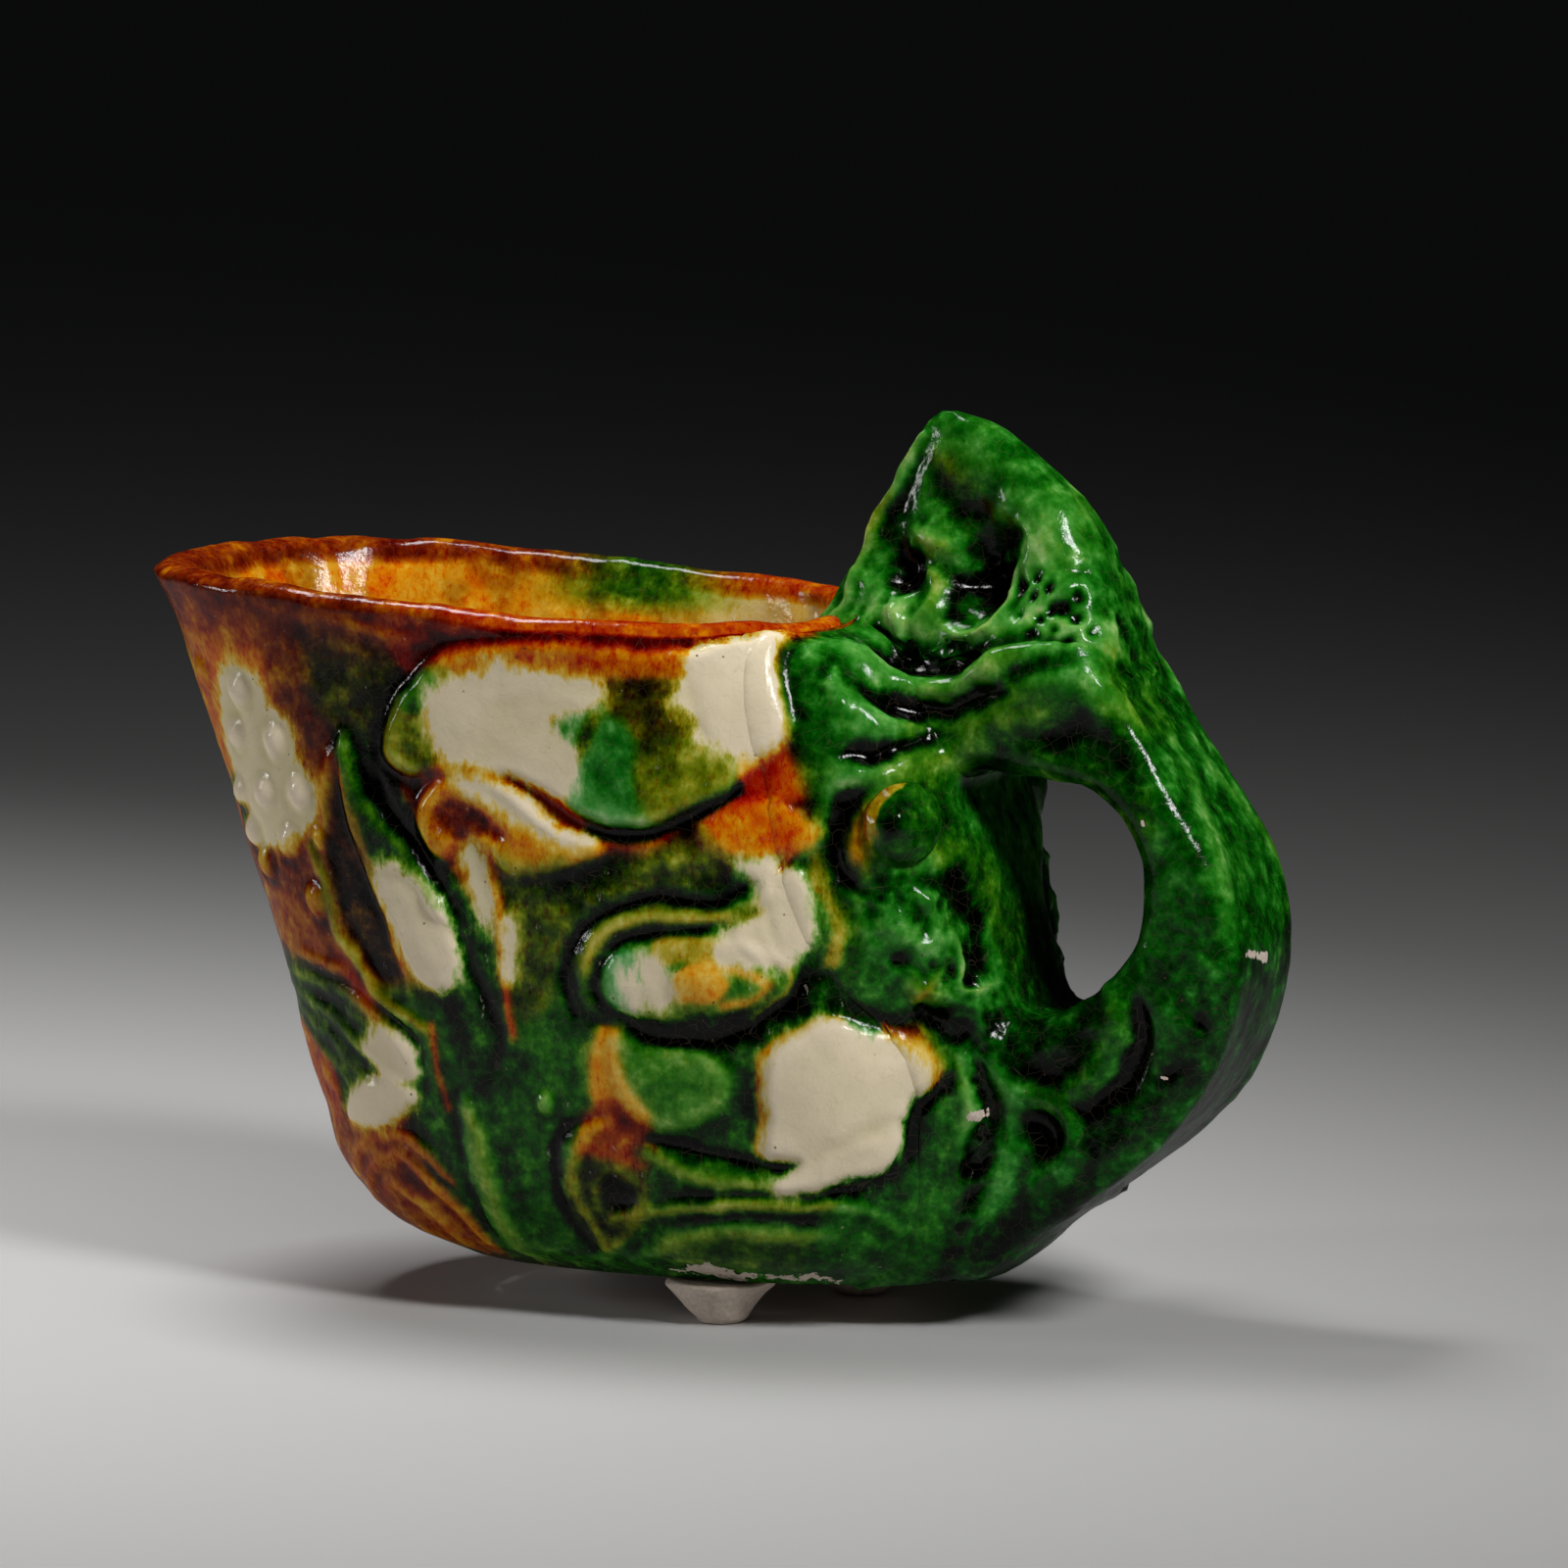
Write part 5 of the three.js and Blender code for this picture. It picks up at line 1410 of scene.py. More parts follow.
def crest_grid():
    """Level outlines of the hood, narrower over the mouth; the rows close together at the tip."""
    s = np.linspace(0, 1, CREST_ROWS)
    z = CREST_FOOT + CREST_HEIGHT * (1 - (1 - s) ** TIP_CROWDING)
    front, back, half = crest_section(z)
    full_turn = np.linspace(0, 2 * np.pi, CREST_TURNS)
    step = np.diff(np.stack(oval(full_turn, CREST_OVAL)), axis=1) * np.array(CREST_SPACING)[:, None]
    walked = np.concatenate([[0], np.cumsum(np.hypot(step[0], step[1]))])
    even = np.linspace(0, walked[-1], CREST_COLUMNS, endpoint=False)
    along, across = oval(np.interp(even, walked, full_turn), CREST_OVAL)
    narrow = 1 - CREST_PINCH * (1 - along) / 2
    x = MIDDLE_X + ((front + back) / 2)[:, None] + ((back - front) / 2)[:, None] * along
    y = half[:, None] * across * narrow
    return np.stack([x, y, np.broadcast_to(z[:, None], x.shape)], -1)


head, head_shown = head_grid()
trunk = trunk_grid()
crest = crest_grid()
print("head", head.shape[:2], "trunk", trunk.shape[:2], "crest", crest.shape[:2])

# %% [markdown]
# ## Blending the joins
# Each join was smoothed over with slip and a wet finger. Every grid is moved onto the blend of its own
# surface with its neighbours', so two pieces meet in one hollow curve instead of a sharp line.

# %% Blend the joins
WALL_BLEND = 2.5
head[:head_shown] = fused(head[:head_shown], head_gap, [wall_gap, trunk_gap, crest_gap])
trunk = fused(trunk, trunk_gap, [head_gap, crest_gap])
crest = fused(crest, crest_gap, [head_gap, trunk_gap])
skin = fused(skin, wall_gap, [head_gap, crest_gap], WALL_BLEND)
print("joins blended over", WALL_BLEND, "to 4 mm")

# %% [markdown]
# ## Folds, wrinkles and the crest's hollow
# The skin's folds were pinched and cut into the damp clay before the green glaze went on. A stroke is
# a line through pixels of the photograph: it raises or hollows the pieces near it and paints them in
# the same go, and the far side takes it over as a mirror image.

# %% Strokes on the green pieces
def turned_out(grid, normals):
    """Normals pointing away from the grid's middle."""
    out = ((grid - grid.reshape(-1, 3).mean(0)) * normals).sum(-1)
    return normals if out.sum() > 0 else -normals


head_normals = turned_out(head, grid_normals(head))
trunk_normals = grid_normals(trunk, wrap=True)
middle = np.stack([trunk_middle[:, 0], 0 * trunk_reach, trunk_middle[:, 1]], -1)[:, None, :]
if ((trunk - middle) * trunk_normals).sum() < 0:
    trunk_normals = -trunk_normals
crest_normals = turned_out(crest, grid_normals(crest, wrap=True))

green_points = np.concatenate([g.reshape(-1, 3) for g in (head[:head_shown], trunk, crest)])
green_normals = np.concatenate([
    n.reshape(-1, 3) for n in (head_normals[:head_shown], trunk_normals, crest_normals)
])
facing = green_normals @ TO_CAMERA > 0.1
facing_points = green_points[facing]
facing_pixels = in_photo(facing_points)
facing_depth = facing_points @ TO_CAMERA
CLOSE_FACTOR, CLOSE_PX2 = 1.5, 49  # squared distances in pixels that count as close
FRONT_DEPTH = 2.5  # places further behind the frontmost one lie round a corner
GREEN_PIXEL_BLUR = 12  # in square pixels


def on_green(pixels):
    """Places on the green pieces: the frontmost point among those that project close to a pixel."""
    found = []
    for pixel in np.array(pixels, float):
        gap2 = ((facing_pixels - pixel) ** 2).sum(-1)
        close = np.flatnonzero(gap2 <= max(gap2.min() * CLOSE_FACTOR, CLOSE_PX2))
        front = close[facing_depth[close] > facing_depth[close].max() - FRONT_DEPTH]
        weight = np.exp(-gap2[front] / GREEN_PIXEL_BLUR)
        total = weight.sum()
        mean = weight @ facing_points[front] / total if total > 0 else facing_points[gap2.argmin()]
        found.append(mean)
    return np.array(found)


def mirrored_places(grid):
    """The near side's place for every point."""
    places = grid.reshape(-1, 3).copy()
    places[:, 1] = -np.abs(places[:, 1])
    return places


GREEN_WANDER = 0.6


def wandering_places(grid):
    """The near side's places, shifted about a little, so that strokes wander as a hand does."""
    places = mirrored_places(grid)
    wobble = [clouds(places, (1, 4.5, seed), (0.5, 1.8, seed + 3)) for seed in (41, 42, 43)]
    return places + GREEN_WANDER * np.stack(wobble, -1)


GREEN = {"head": head, "trunk": trunk, "crest": crest}
green_places = {key: wandering_places(grid) for key, grid in GREEN.items()}
green_relief = {key: np.zeros(grid.shape[:2]) for key, grid in GREEN.items()}
green_paint = {key: blank_paint(grid) for key, grid in GREEN.items()}


def green_share(key, line, width, ends=(0.5, 0.5)):
    """Share of a stroke at each point of a piece: exp(-(distance/width)^2), thinner at its ends."""
    return brushed(green_places[key], line, width, ends).reshape(GREEN[key].shape[:2])


STROKE_DEPTH, STROKE_SPREAD = 0.6, 1.3  # a form is lower and wider than its painted line
EVEN, LENS = (0.5, 0.5), (0.1, 0.1)  # how thick a stroke's two ends are


def stroke(pixels, width, height, ends=EVEN, copper=None, iron=None):
    """A ridge or groove on the green pieces, with the amounts it paints."""
    line = smooth_line(on_green(pixels))
    for key in GREEN:
        form = green_share(key, line, STROKE_SPREAD * width, ends)
        green_relief[key] += STROKE_DEPTH * height * form
        paint_on(green_paint[key], green_share(key, line, width, ends), copper=copper, iron=iron)


def draw(strokes):
    """Draw strokes in order; a row is a width, a height, ends, copper and iron, and its pixels."""
    for width, height, *more, pixels in strokes:
        stroke(pixels, width, height, *more)


GROUND_COPPER = {"head": 1.5, "trunk": 1.65, "crest": 1.3}
LOW_Z, LOW_FADE = 46, 26  # the green is darker below this height: thicker glaze that ran down, and painted shade on the low parts
for key, grid in GREEN.items():
    patchy = clouds(grid, (1.2, 5.5, 4), (0.6, 2.0, 5))
    low_run_and_shade = ease((LOW_Z - grid[..., 2]) / LOW_FADE)
    # lower down more copper: for the run glaze, and as painted shade
    green_paint[key]["copper"] += GROUND_COPPER[key] + 0.5 * patchy + 1.5 * low_run_and_shade
    green_paint[key]["iron"] += 0.12 + 0.4 * ease(1.5 * cloud(grid, 7.0, 6))
    green_paint[key]["cream"] += NO_CREAM
    green_paint[key]["bare"] += NO_BARE
print(facing.sum(), "places of the green pieces face the camera")

# %% Folds of the brow and root, seen under the crest
FOLDS = (
    (1.9, 1.7, (0.5, 0.7), 1.25, [(866, 664), (885, 676), (910, 690), (937, 697), (969, 694), (998, 683),
        (1038, 665), (1078, 656), (1120, 651)]),
    (1.3, -3.0, LENS, 2.0, [(880, 652), (905, 668), (930, 678), (955, 682), (985, 674), (1010, 658)]),
    (1.9, 1.5, (0.5, 0.3), 1.3, [(866, 722), (888, 738), (920, 751), (958, 748), (992, 740), (1040, 728),
        (1075, 722)]),
    (1.2, -2.8, LENS, 2.1, [(872, 706), (900, 716), (935, 724), (965, 724), (1000, 712), (1036, 700)]),
    (1.7, 1.3, (0.5, 0.3), 1.3, [(856, 792), (883, 794), (906, 784), (935, 775), (972, 776), (1004, 764)]),
    (1.1, -2.4, LENS, 2.1, [(852, 764), (892, 768), (935, 757), (985, 748)]),
    (0.6, 1.0, [(852, 690), (853, 715), (856, 740)]),
    (1.0, -1.8, LENS, 2.0, 0.4, [(896, 796), (864, 812), (849, 850), (860, 892), (892, 916)]),
    (1.5, 0.3, (0.6, 0.6), 0.3, 1.5, [(880, 822), (872, 852), (880, 888)]),
    (1.4, 1.8, [(953, 916), (954, 919)]),
    (2.0, 1.8, [(896, 962), (925, 950), (960, 965)]),
    (1.6, -1.4, LENS, 2.4, [(938, 904), (955, 898), (985, 912), (1002, 945), (994, 985), (1006, 1018)]),
    (0.45, 1.1, EVEN, 0.6, [(968, 948), (980, 978), (983, 1010), (1010, 1000), (1030, 994)]),
    (1.3, -3.0, LENS, 2.2, [(913, 1034), (945, 1040), (968, 1062), (972, 1096)]),
    (2.0, 1.6, EVEN, 0.5, 0.8, [(940, 1012), (950, 1018)]),
    (1.3, 1.5, EVEN, 0.8, [(975, 1060), (985, 1100), (978, 1150), (958, 1200), (940, 1250)]),
    (1.1, -1.8, LENS, 1.8, [(1000, 1060), (1010, 1110), (1000, 1170), (985, 1230)]),
    (1.2, 1.3, EVEN, 0.85, [(1018, 1085), (1030, 1130), (1028, 1180), (1005, 1240)]),
    (1.1, -2.0, LENS, 2.0, [(930, 1120), (940, 1180), (925, 1240), (905, 1290)]),
)
draw(FOLDS)
print("folds drawn:", len(FOLDS))

# %% Trunk folds and the crest's hollow
TRUNK_FOLDS = (
    # paler copper on the trunk's near edge: thinner glaze on the ridge, and a painted highlight along it
    (1.7, 0.35, EVEN, 1.0, [(1182, 743), (1209, 778), (1226, 822), (1236, 850), (1247, 902), (1248, 946)]),
    (0.9, -2.0, LENS, 1.8, [(1156, 1012), (1165, 1058), (1145, 1104), (1108, 1137)]),
    (1.3, 1.6, [(1132, 1010), (1140, 1050), (1122, 1090), (1086, 1118)]),
    (1.1, 2.0, [(1036, 1112), (1068, 1128), (1090, 1152), (1084, 1192), (1058, 1215)]),
    (1.3, -2.0, LENS, 1.8, [(1046, 1135), (1070, 1154), (1066, 1186)]),
    (0.4, -0.8, [(1190, 1104), (1222, 1078)]),
    (0.6, -0.9, [(1224, 1040), (1228, 1050)]),
    (1.6, 0.5, [(1105, 1215), (1160, 1180), (1205, 1140), (1240, 1080)]),
    (1.8, -1.0, LENS, [(1050, 762), (1100, 748), (1140, 770), (1165, 810)]),
    (1.5, 1.0, [(1030, 700), (1080, 690), (1118, 694), (1150, 722)]),
    (0.9, -1.4, LENS, 1.8, [(1118, 657), (1095, 672), (1050, 682), (1010, 696)]),
)
draw(TRUNK_FOLDS)

HOLLOW = (
    # paler copper on the crest's front ridge: thinner glaze on the edge, and a painted highlight along it
    (0.45, 1.5, (0.8, 0.6), 0.6, [(942, 443), (925, 470), (911, 497), (898, 527), (884, 562), (868, 602),
        (852, 625)]),
    (1.2, -1.0, EVEN, 1.5, [(936, 470), (918, 505), (906, 545), (894, 590)]),
    (2.6, -2.0, EVEN, 1.5, [(926, 520), (955, 512), (995, 520), (1020, 548)]),
    (2.2, -2.2, EVEN, 2.8, 0.4, [(928, 545), (946, 580), (960, 622)]),
    (2.0, -2.0, EVEN, 2.4, [(968, 535), (976, 580), (972, 622)]),
    (1.6, 0.0, EVEN, None, 0.9, [(950, 470), (975, 500), (985, 540)]),
    (2.6, -4.6, (0.4, 0.4), 2.4, [(992, 532), (1006, 566), (1004, 600), (990, 628)]),
    (1.6, -4.0, EVEN, 3.0, [(1000, 566), (1002, 602)]),
    (1.3, -3.2, EVEN, 2.2, [(914, 556), (918, 582), (908, 606)]),
    (0.7, 2.0, [(908, 604), (914, 625), (916, 646)]),
    (0.8, 1.6, EVEN, 0.9, [(938, 572), (950, 592), (948, 616), (936, 640)]),
    (0.9, 1.2, EVEN, 0.8, [(930, 540), (944, 548), (966, 560)]),
    (0.4, 1.6, EVEN, 0.5, [(1035, 530), (1046, 549), (1040, 566), (1030, 576), (1024, 596), (1020, 616),
        (1006, 634), (988, 648), (970, 646), (956, 632)]),
    (3.2, 0.8, [(1050, 500), (1085, 530), (1108, 575), (1112, 620)]),
)
draw(HOLLOW)

PITS_PX = [
    (1048, 612), (1066, 604), (1086, 620), (1060, 630), (1076, 640), (1100, 632), (1048, 646),
    (1102, 606), (1038, 626), (1112, 645), (1092, 650), (1032, 596), (1052, 590), (1074, 622),
]
PIT_STEP_PX = (3, 1)
for pit in PITS_PX:
    stroke([pit, np.array(pit) + PIT_STEP_PX], 0.6, -2.0, copper=1.9)
CREST_FOOT_PX = [(892, 642), (930, 658), (975, 662), (1010, 652), (1060, 654), (1118, 654)]
stroke(CREST_FOOT_PX, 0.9, -1.2, copper=1.8)

CHIPS_PX = (
    ([(1272, 974), (1288, 976), (1304, 980)], 0.9),
    ([(1205, 724), (1209, 728)], 0.5),
    ([(1163, 838), (1163, 842)], 0.35),
    ([(988, 1136), (1002, 1134)], 0.85),
    ([(1150, 1028), (1152, 1031)], 0.3),
    ([(1186, 1104), (1190, 1105)], 0.3),
)
CHIP_DEPTH, CHIP_START = 2.2, 1.45
for pixels, width in CHIPS_PX:
    line = smooth_line(on_green(pixels))
    for key in GREEN:
        share = green_share(key, line, width, (1, 1)) * (GREEN[key][..., 1] < 0)
        chip = CHIP_DEPTH * share - CHIP_START
        green_paint[key]["bare"] = np.maximum(green_paint[key]["bare"], chip)
print("strokes on trunk and crest:", len(TRUNK_FOLDS) + len(HOLLOW) + len(PITS_PX))

# %% [markdown]
# ## Putting it together
# The relief and the hand's unevenness push each sheet along its own normals. Glaze runs off ridges
# and gathers in hollows, so the height blurred over a millimetre or two, less the height itself,
# tells how thick the glaze lies. A broader blur over a few millimetres adds painted shade round
# the hollows.

# %% Finished sheets
POOL_PASSES, BROAD_SHADE_PASSES = 26, 182  # rounds of blur for the pooled glaze, and for the broad painted shade round hollows
DEEPEST_POOL = 0.5
# the broad share is painted shade: it darkens the glaze round hollows a few millimetres wide
BROAD_SHADE_LIMITS, BROAD_SHADE_SHARE = (-0.2, 0.4), 0.5
WEATHERING = (0.34, 8.0, 11), (0.15, 3.4, 12), (0.05, 1.5, 13), (0.02, 0.8, 14)


def pooled_and_shaded(height, thinnest, wrap=False):
    """Pooled glaze from how much lower a place lies than its near surroundings, plus painted shade from how
    much lower than its broad ones, held within limits.
    """
    near = np.clip(blur(height, POOL_PASSES, wrap) - height, thinnest, DEEPEST_POOL)
    broad = np.clip(blur(height, BROAD_SHADE_PASSES, wrap) - height, *BROAD_SHADE_LIMITS)
    return near + BROAD_SHADE_SHARE * broad


def nearest_in(points, others, block=400):
    """Index of the nearest other point for each point, and its distance, a block at a time."""
    index, gap = [], []
    for start in range(0, len(points), block):
        step = points[start:start + block, None, :] - others[None]
        gap2 = np.einsum("ijk,ijk->ij", step, step)
        index.append(gap2.argmin(1))
        gap.append(np.sqrt(gap2.min(1)))
    return np.concatenate(index), np.concatenate(gap)


# %% [markdown]
# ## One glaze over two pieces
# The cup was glazed after it was joined, so the glaze runs on across the edge where the head's clay
# lies on the wall. Near that edge the head takes over the height and the amounts of the nearest place
# on the wall.

# %% The head's edge
COPPER_GAIN = 1.15
outer_paint["copper"] *= COPPER_GAIN
height = relief + lump * fade
HEAD_BORDER, WALL_BORDER = 2.6, 3.5  # how near the other surface still counts as the edge
BORDER_FULL, BORDER_FADE = 0.4, 1.8
border = (wall_gap(head) < HEAD_BORDER) & (np.arange(len(head)) < head_shown)[:, None]
beside = (head_gap(skin) < WALL_BORDER) & (skin[..., 0] > 0)
index, gap = nearest_in(mirrored_places(head[border]), skin[beside])
border_share = 1 - ease((gap - BORDER_FULL) / BORDER_FADE)
border_height = height[beside][index]
for key in ("iron", "copper", "smoke", "cream"):
    own = green_paint["head"][key]
    own[border] += border_share * (outer_paint[key][beside][index] - own[border])
print(border.sum(), "places of the head lie at its edge")

# %% [markdown]
# ## The two halves of the wall
# The outside takes the relief and the daubs. The inside was only wiped with thin glaze: it is tan
# towards the spout and nearly bare towards the crest. The glaze is dark on the lip at the spout, and
# the far half has a green run inside, below its rim.

# %% Near and far wall
INSIDE_LUMPS = (0.35, 3.4, 61), (0.12, 1.5, 62)
THINNEST_ON_WALL, THINNEST_ON_GREEN = -0.38, -0.16
BARE_MARGIN = 0.6
FOOT_LINE_Z, FOOT_LINE_FADE = BASE_Z - 0.2, 0.5
wall_full = wall.copy()
normals = near_side_normals(skin)
normals[:, [0, -1], 1] = 0
wall_full[:OUTSIDE_ROWS] = skin + normals * (height * fade)[..., None]
inside_rows = slice(OUTSIDE_ROWS + LIP_ROWS, None)
inside_lumps = clouds(wall[inside_rows], *INSIDE_LUMPS)
wall_full[inside_rows, 1:-1] += (grid_normals(wall[inside_rows]) * inside_lumps[..., None])[:, 1:-1]
wall_full[:, [0, -1], 1] = 0
# pooled glaze, and painted shade round the broad hollows
outer_paint["pool_and_shade"] = pooled_and_shaded(height, THINNEST_ON_WALL)
below_foot_line = (FOOT_LINE_Z - chart[..., 1]) / FOOT_LINE_FADE
outer_paint["bare"] = np.maximum(outer_paint["bare"] - BARE_MARGIN, below_foot_line)

TAN_X, TAN_FADE = -17, 9
inner = wall[OUTSIDE_ROWS:]
wall_paint = blank_paint(wall)
for key in PAINTS:
    wall_paint[key][:OUTSIDE_ROWS] = outer_paint[key]
specky = clouds(inner, (1, 6.0, 8), (0.6, 2.0, 9))
unglazed = ease((inner[..., 0] - TAN_X) / TAN_FADE + 0.4 * specky)
wall_paint["iron"][OUTSIDE_ROWS:] = (0.6 + 0.35 * specky) * (1 - 0.8 * unglazed)
wall_paint["smoke"][OUTSIDE_ROWS:] = 0.3 * ease(2 * cloud(inner, 3.0, 10) - 0.3) * (1 - unglazed)
wall_paint["cream"][OUTSIDE_ROWS:] = NO_CREAM
wall_paint["bare"][OUTSIDE_ROWS:] = NO_BARE
wall_paint["bare"][-2:] = -NO_BARE

LIP_LEAD, LIP_FADE = 20, 16  # rows below the lip
DARK_LIP_X, DARK_LIP_FADE = -30, 16
lip = slice(OUTSIDE_ROWS - LIP_LEAD, OUTSIDE_ROWS + LIP_ROWS + 1)
onto_lip = ease(np.arange(LIP_LEAD + LIP_ROWS + 1) / LIP_FADE)[:, None]
dark_lip = 1 - ease((wall[lip, :, 0] - DARK_LIP_X) / DARK_LIP_FADE + 0.5 * cloud(wall[lip], 4.0, 3))
lip_paint = {key: wall_paint[key][lip] for key in PAINTS}
paint_on(lip_paint, 0.85 * onto_lip, iron=1.5, copper=0.0, smoke=0.3)
paint_on(lip_paint, dark_lip * onto_lip, iron=1.4, smoke=0.8)

GREEN_RUN_X, GREEN_RUN_WIDTH, GREEN_RUN_Z, GREEN_RUN_FADE = -17, 7, 66, 3
GREEN_RUN_LEAD = 8  # rows of the outside
far_paint = {key: value.copy() for key, value in wall_paint.items()}
green_run = np.exp(-(((wall[..., 0] - GREEN_RUN_X) / GREEN_RUN_WIDTH) ** 2))
green_run *= ease((wall[..., 2] - GREEN_RUN_Z) / GREEN_RUN_FADE)
green_run *= np.arange(wall_rows)[:, None] >= OUTSIDE_ROWS - GREEN_RUN_LEAD
paint_on(far_paint, green_run, copper=1.2, iron=0.5, smoke=0.0)

MIRROR = np.array((1, -1, 1))
wall_faces = sheet_faces(wall_rows, wall_columns)
make_piece("near_wall_glazed", "near_wall", wall_full, wall_faces, wall_paint, wall_glaze)
make_piece("far_wall_glazed", "far_wall", wall_full * MIRROR, wall_faces, far_paint, wall_glaze)

# %% [markdown]
# ## The head, the trunk and the crest
# These three carry the thick green glaze. Each sheet is pushed out along its normals by its strokes,
# by soft lumps and by a fine crumple of the skin, and the glaze pools in what is left lower, with
# painted shade round the broader hollows.

# %% Head, trunk and crest
GREEN_LUMPS = {"head": 0.8, "trunk": 0.5, "crest": 0.7}


def rough_skin(grid, key):
    """Crumpled clay under the thick green glaze: sharp crests where a noise crosses zero."""
    crumple = 0.30 - np.abs(cloud(grid, 3.0, 51)) - 0.5 * np.abs(cloud(grid, 1.3, 52))
    if key == "head":
        lower_half = 0.2 + 0.45 * ease((50 - grid[..., 2]) / 10)
        off_middle = ease((np.abs(grid[..., 1]) - 6) / 5)
        return crumple * lower_half * off_middle
    if key == "crest":
        below_tip = ease((84 - grid[..., 2]) / 8)
        return 0.35 * crumple * below_tip
    return 0.10 * crumple


def green_sheet(key, normals, shown, wrap):
    """Moved points and finished paint of a green piece."""
    grid = GREEN[key]
    lumps = GREEN_LUMPS[key] * clouds(grid, *WEATHERING)
    height = blur(green_relief[key], 1, wrap) + lumps + rough_skin(grid, key)
    if key == "head":
        height[border] += border_share * (border_height - height[border])
    height[shown:] = 0
    pool_and_shade = pooled_and_shaded(height, THINNEST_ON_GREEN, wrap)
    if key == "head":
        pool_and_shade[border] += border_share * (outer_paint["pool_and_shade"][beside][index] - pool_and_shade[border])
    green_paint[key]["pool_and_shade"] = pool_and_shade
    return grid + normals * height[..., None]


full = green_sheet("head", head_normals, head_shown, False)
faces = sheet_faces(*full.shape[:2])
make_piece("head_front_glazed", "head_front", full, faces, green_paint["head"], green_glaze)
for key, node, normals in (("trunk", "trunk_handle", trunk_normals), ("crest", "crest", crest_normals)):
    full = green_sheet(key, normals, len(GREEN[key]), True)
    faces = tube_faces(*full.shape[:2])
    make_piece(f"{key}_glazed", node, full, faces, green_paint[key], green_glaze)

# %% [markdown]
# ## The eye bosses
# A small ball of clay was pressed onto each side of the head's front. It is an egg whose foot blends
# into the head. Each has a dark pupil, and a pale amber crescent on the side towards the spout.

# %% Eye bosses
BOSS_ROWS, BOSS_COLUMNS = 40, 64
BOSS_SINK = 3.0  # the egg reaches on into the head
BOSS_SHARE = 0.8  # the blended foot fills the rest of the box
BOSS_BLEND = 3.4
BOSS_LUMPS = (0.25, 2.4, 15), (0.12, 1.1, 16)
EDGE_WANDER = 0.25


def boss_grid(low, high):
    """An egg that fills a box: cosines and sines of two angles, times the half sizes."""
    centre, half = (low + high) / 2, (high - low) / 2
    tilt = np.linspace(-np.pi / 2, np.pi / 2, BOSS_ROWS)[:, None]
    turn = np.linspace(0, 2 * np.pi, BOSS_COLUMNS, endpoint=False)[None, :]
    unit = np.stack([np.cos(tilt) * np.cos(turn), np.cos(tilt) * np.sin(turn), np.sin(tilt) + 0 * turn], -1)
    return centre + unit * half


def boss_piece(side):
    """An egg blended into the head; its glaze is painted by how far across and up a place lies."""
    low, high = box_mm(f"{side}_eye_boss")
    if side == "near":
        high[1] += BOSS_SINK
    else:
        low[1] -= BOSS_SINK
    middle, half = (low + high) / 2, BOSS_SHARE * (high - low) / 2
    half[1] = (high - low)[1] / 2

    def own_gap(points):
        """The egg's level, its radius less 1, times its smallest half size."""
        return (np.linalg.norm((points - middle) / half, axis=-1) - 1) * half.min()

    grid = fused(boss_grid(middle - half, middle + half), own_gap, [head_gap], BOSS_BLEND)
    normals = turned_out(grid, grid_normals(grid, wrap=True))
    grid = grid + normals * clouds(grid, *BOSS_LUMPS)[..., None]
    across = (grid[..., 0] - middle[0]) / half[0] + EDGE_WANDER * cloud(grid, 1.8, 17)
    upward = (grid[..., 2] - middle[2]) / half[2] + EDGE_WANDER * cloud(grid, 1.8, 18)
    front = ease((-0.5 - across) / 0.2)
    bow = across + 0.5 - 0.25 * upward**2
    crescent = ease((0.3 - np.abs(bow)) / 0.12) * ease(1.6 * upward + 1.4)
    pupil = np.exp(-(((across - 0.22) / 0.34) ** 2) - ((upward - 0.1) / 0.5) ** 2)
    grid[0], grid[-1] = grid[0].mean(0), grid[-1].mean(0)
    paint = blank_paint(grid)
    paint_on(paint, 1.0, copper=1.6, iron=0.3, cream=NO_CREAM, bare=NO_BARE)
    paint_on(paint, front, copper=0.3, iron=1.3)
    paint_on(paint, pupil, copper=3.0, iron=0.5, smoke=1.3)
    paint_on(paint, crescent, copper=0.22, iron=0.5)
    faces = tube_faces(BOSS_ROWS, BOSS_COLUMNS)
    make_piece(f"{side}_eye", f"{side}_eye_boss", grid, faces, paint, green_glaze)


for side in ("near", "far"):
    boss_piece(side)

# %% [markdown]
# ## The floor slab and the pads
# A flat slab of clay closes the bottom between the two halves. The cup stood in the kiln on small pads
# of squeezed clay, which stuck to it and stayed. Both kinds are rings of points, from the middle of one
# flat face over the side to the middle of the other.

# %% Floor slab and clay pads
SLAB_TURNS = 120
SLAB_RINGS = (  # share of the half size, and share of the height
    (0.02, 1), (0.3, 1), (0.6, 1), (0.85, 1), (0.96, 1), (0.995, 0.96),
    (1, 0.9), (1, 0.1), (0.995, 0.04), (0.96, 0), (0.6, 0), (0.02, 0),
)
SLAB_SHARP = math.radians(40)


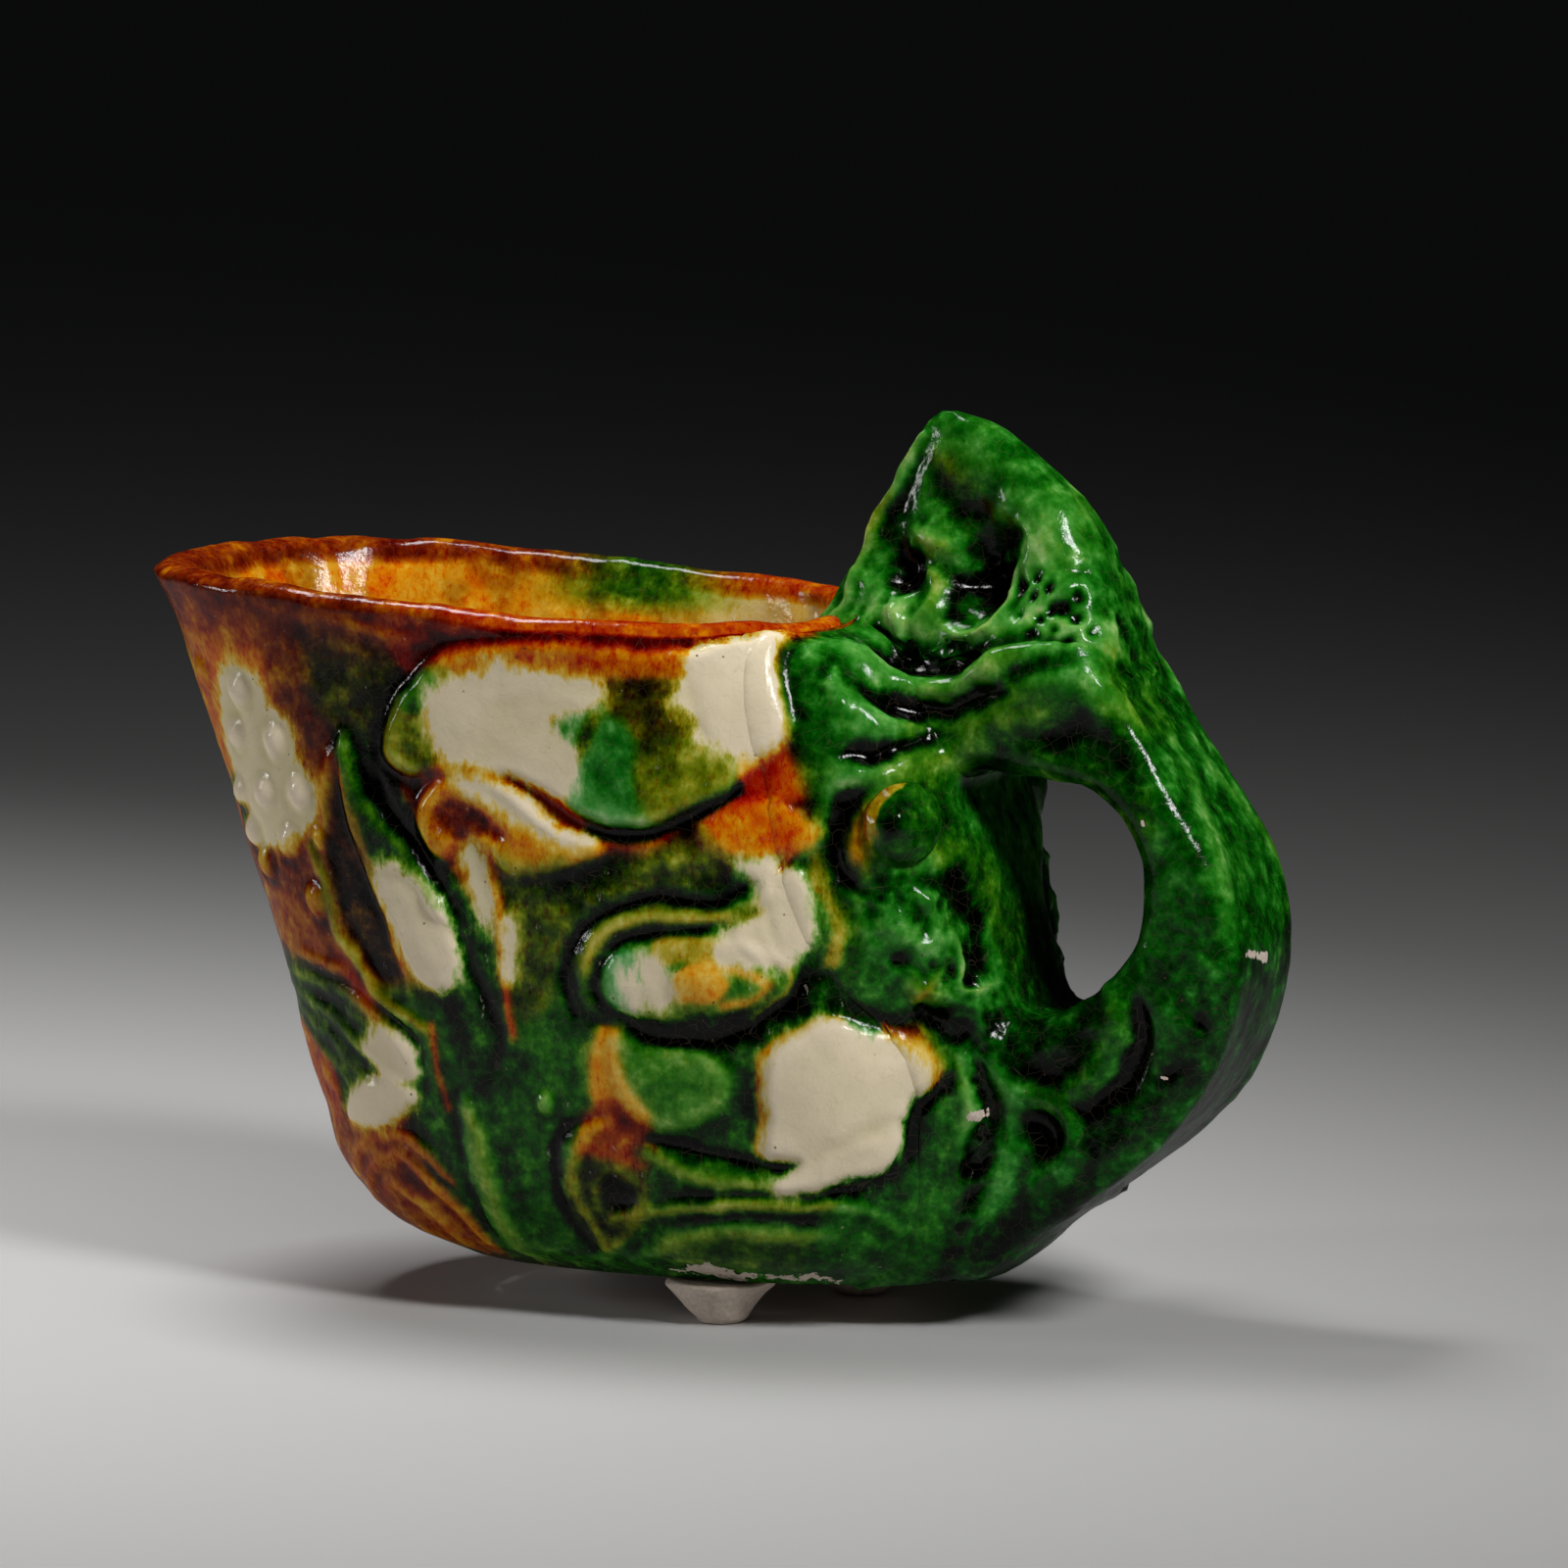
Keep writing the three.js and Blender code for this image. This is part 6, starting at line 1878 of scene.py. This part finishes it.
def slab_piece():
    """A flat oval: rings from the middle of its top, over the edge, to the middle of its bottom."""
    low, high = box_mm("floor_slab")
    centre, half = (low + high) / 2, (high - low) / 2
    share, rise = np.array(SLAB_RINGS).T[..., None]
    along, across = oval(np.linspace(0, 2 * np.pi, SLAB_TURNS, endpoint=False), WALL_POWER)
    x = centre[0] + half[0] * share * along
    y = centre[1] + half[1] * share * across
    z = low[2] + (high[2] - low[2]) * rise + 0 * x
    faces = tube_faces(len(SLAB_RINGS), SLAB_TURNS)
    paint = {"iron": 1.1, "cream": NO_CREAM, "bare": np.where(rise > 0.5, NO_BARE, -NO_BARE) + 0 * x}
    grid = np.stack([x, y, z], -1)
    make_piece("floor_slab_clay", "floor_slab", grid, faces, paint, clay_finish, SLAB_SHARP)


PAD_ROWS, PAD_TURNS = 45, 72
PAD_PROFILE = (  # share of the radius, and share of the height
    (0.02, 0.0), (0.3, 0.0), (0.44, 0.02), (0.52, 0.12), (0.6, 0.3), (0.7, 0.5),
    (0.82, 0.7), (0.93, 0.86), (0.99, 0.96), (0.97, 1.0), (0.5, 1.0), (0.02, 1.0),
)
PAD_LUMPS = (0.5, 2.6, 21), (0.2, 1.1, 22)
UP = np.array((0, 0, 1))


def pad_piece(place):
    """A squeezed cone of clay: a turned profile with seeded lumps."""
    low, high = box_mm(f"{place}_clay_pad")
    centre, top = (low + high) / 2, high[2]
    at = np.linspace(0, len(PAD_PROFILE) - 1, PAD_ROWS)
    share, rise = (np.interp(at, np.arange(len(PAD_PROFILE)), column) for column in np.array(PAD_PROFILE).T)
    turn = np.linspace(0, 2 * np.pi, PAD_TURNS, endpoint=False)
    radius = (high[0] - low[0]) / 2 * share[:, None]
    x, y = centre[0] + radius * np.cos(turn), centre[1] + radius * np.sin(turn)
    grid = np.stack([x, y, top * rise[:, None] + 0 * x], -1)
    body = ease(rise / 0.15) * ease((1 - rise) / 0.1)  # none on the flat ends
    away = grid - centre * (1 - UP) - UP * grid[..., 2:]
    away /= np.maximum(np.linalg.norm(away, axis=-1, keepdims=True), 1e-6)
    grid = grid + away * (clouds(grid, *PAD_LUMPS) * body[:, None])[..., None]
    faces = tube_faces(PAD_ROWS, PAD_TURNS)
    paint = {"bare": -NO_BARE}
    make_piece(f"{place}_pad_clay", f"{place}_clay_pad", grid, faces, paint, clay_finish)


slab_piece()
for place in ("near", "far", "spout"):
    pad_piece(place)

# %% [markdown]
# ## Floor and light
# The cup stands on a plain pale floor. A key lamp hangs above at the left, and a weaker side lamp
# stands at the right front. A narrow weak strip stands low at the left and draws thin lights along
# the edges. Sizes are in millimetres and powers in watts.

# %% Studio
def plain_material(name, colour, roughness):
    """One plain colour with a roughness."""
    material = bpy.data.materials.new(name)
    material.use_nodes = True
    shader = material.node_tree.nodes["Principled BSDF"]
    shader.inputs["Base Color"].default_value = colour
    shader.inputs["Roughness"].default_value = roughness
    return material


FLOOR_HALF_M = 14.0
FLOOR_CORNERS = [(x * FLOOR_HALF_M, y * FLOOR_HALF_M, 0) for x, y in ((-1, -1), (1, -1), (1, 1), (-1, 1))]
FLOOR_COLOUR, FLOOR_ROUGHNESS = (0.46, 0.455, 0.45, 1), 0.75
floor_mesh = bpy.data.meshes.new("floor")
floor_mesh.from_pydata(FLOOR_CORNERS, [], [(0, 1, 2, 3)])
floor_mesh.materials.append(plain_material("floor", FLOOR_COLOUR, FLOOR_ROUGHNESS))
floor = bpy.data.objects.new("floor", floor_mesh)
bpy.context.scene.collection.objects.link(floor)


def soft_light(name, place, aim, size, watts, spread):
    """A square lamp in millimetres that faces a point; a grid before it narrows its cone."""
    lamp = bpy.data.lights.new(name, "AREA")
    lamp.shape = "RECTANGLE"
    lamp.size, lamp.size_y = size[0] * MM, size[1] * MM
    lamp.energy = watts
    lamp.spread = math.radians(spread)
    item = bpy.data.objects.new(name, lamp)
    bpy.context.scene.collection.objects.link(item)
    away = np.array(place, float) - np.array(aim, float)
    away /= np.linalg.norm(away)
    side = np.cross((0, 0, 1), away)
    side /= np.linalg.norm(side)
    turned = np.eye(4)
    turned[:3] = np.stack([side, np.cross(away, side), away, np.array(place) * MM], -1)
    item.matrix_world = Matrix(turned.tolist())


LAMPS = (  # name, place, aim, size, watts, and spread in degrees
    ("key", (-127, 36, 370), (-253, -173, 0), (120, 120), 1.0, 131),
    ("side", (312, -171, 335), (-43, 60, 30), (85, 118), 0.34, 75),
    ("strip", (-400, -170, 130), (20, -10, 60), (24, 110), 0.05, 60),
)
for lamp in LAMPS:
    soft_light(*lamp)

ROOM_COLOUR, ROOM_STRENGTH = (0.75, 0.78, 0.82, 1), 0.008
world = bpy.data.worlds.new("room")
bpy.context.scene.world = world
world.use_nodes = True
background = world.node_tree.nodes["Background"]
background.inputs["Color"].default_value = ROOM_COLOUR
background.inputs["Strength"].default_value = ROOM_STRENGTH
bpy.context.scene.view_settings.view_transform = "Standard"
print(len(LAMPS), "lamps hung over the floor")
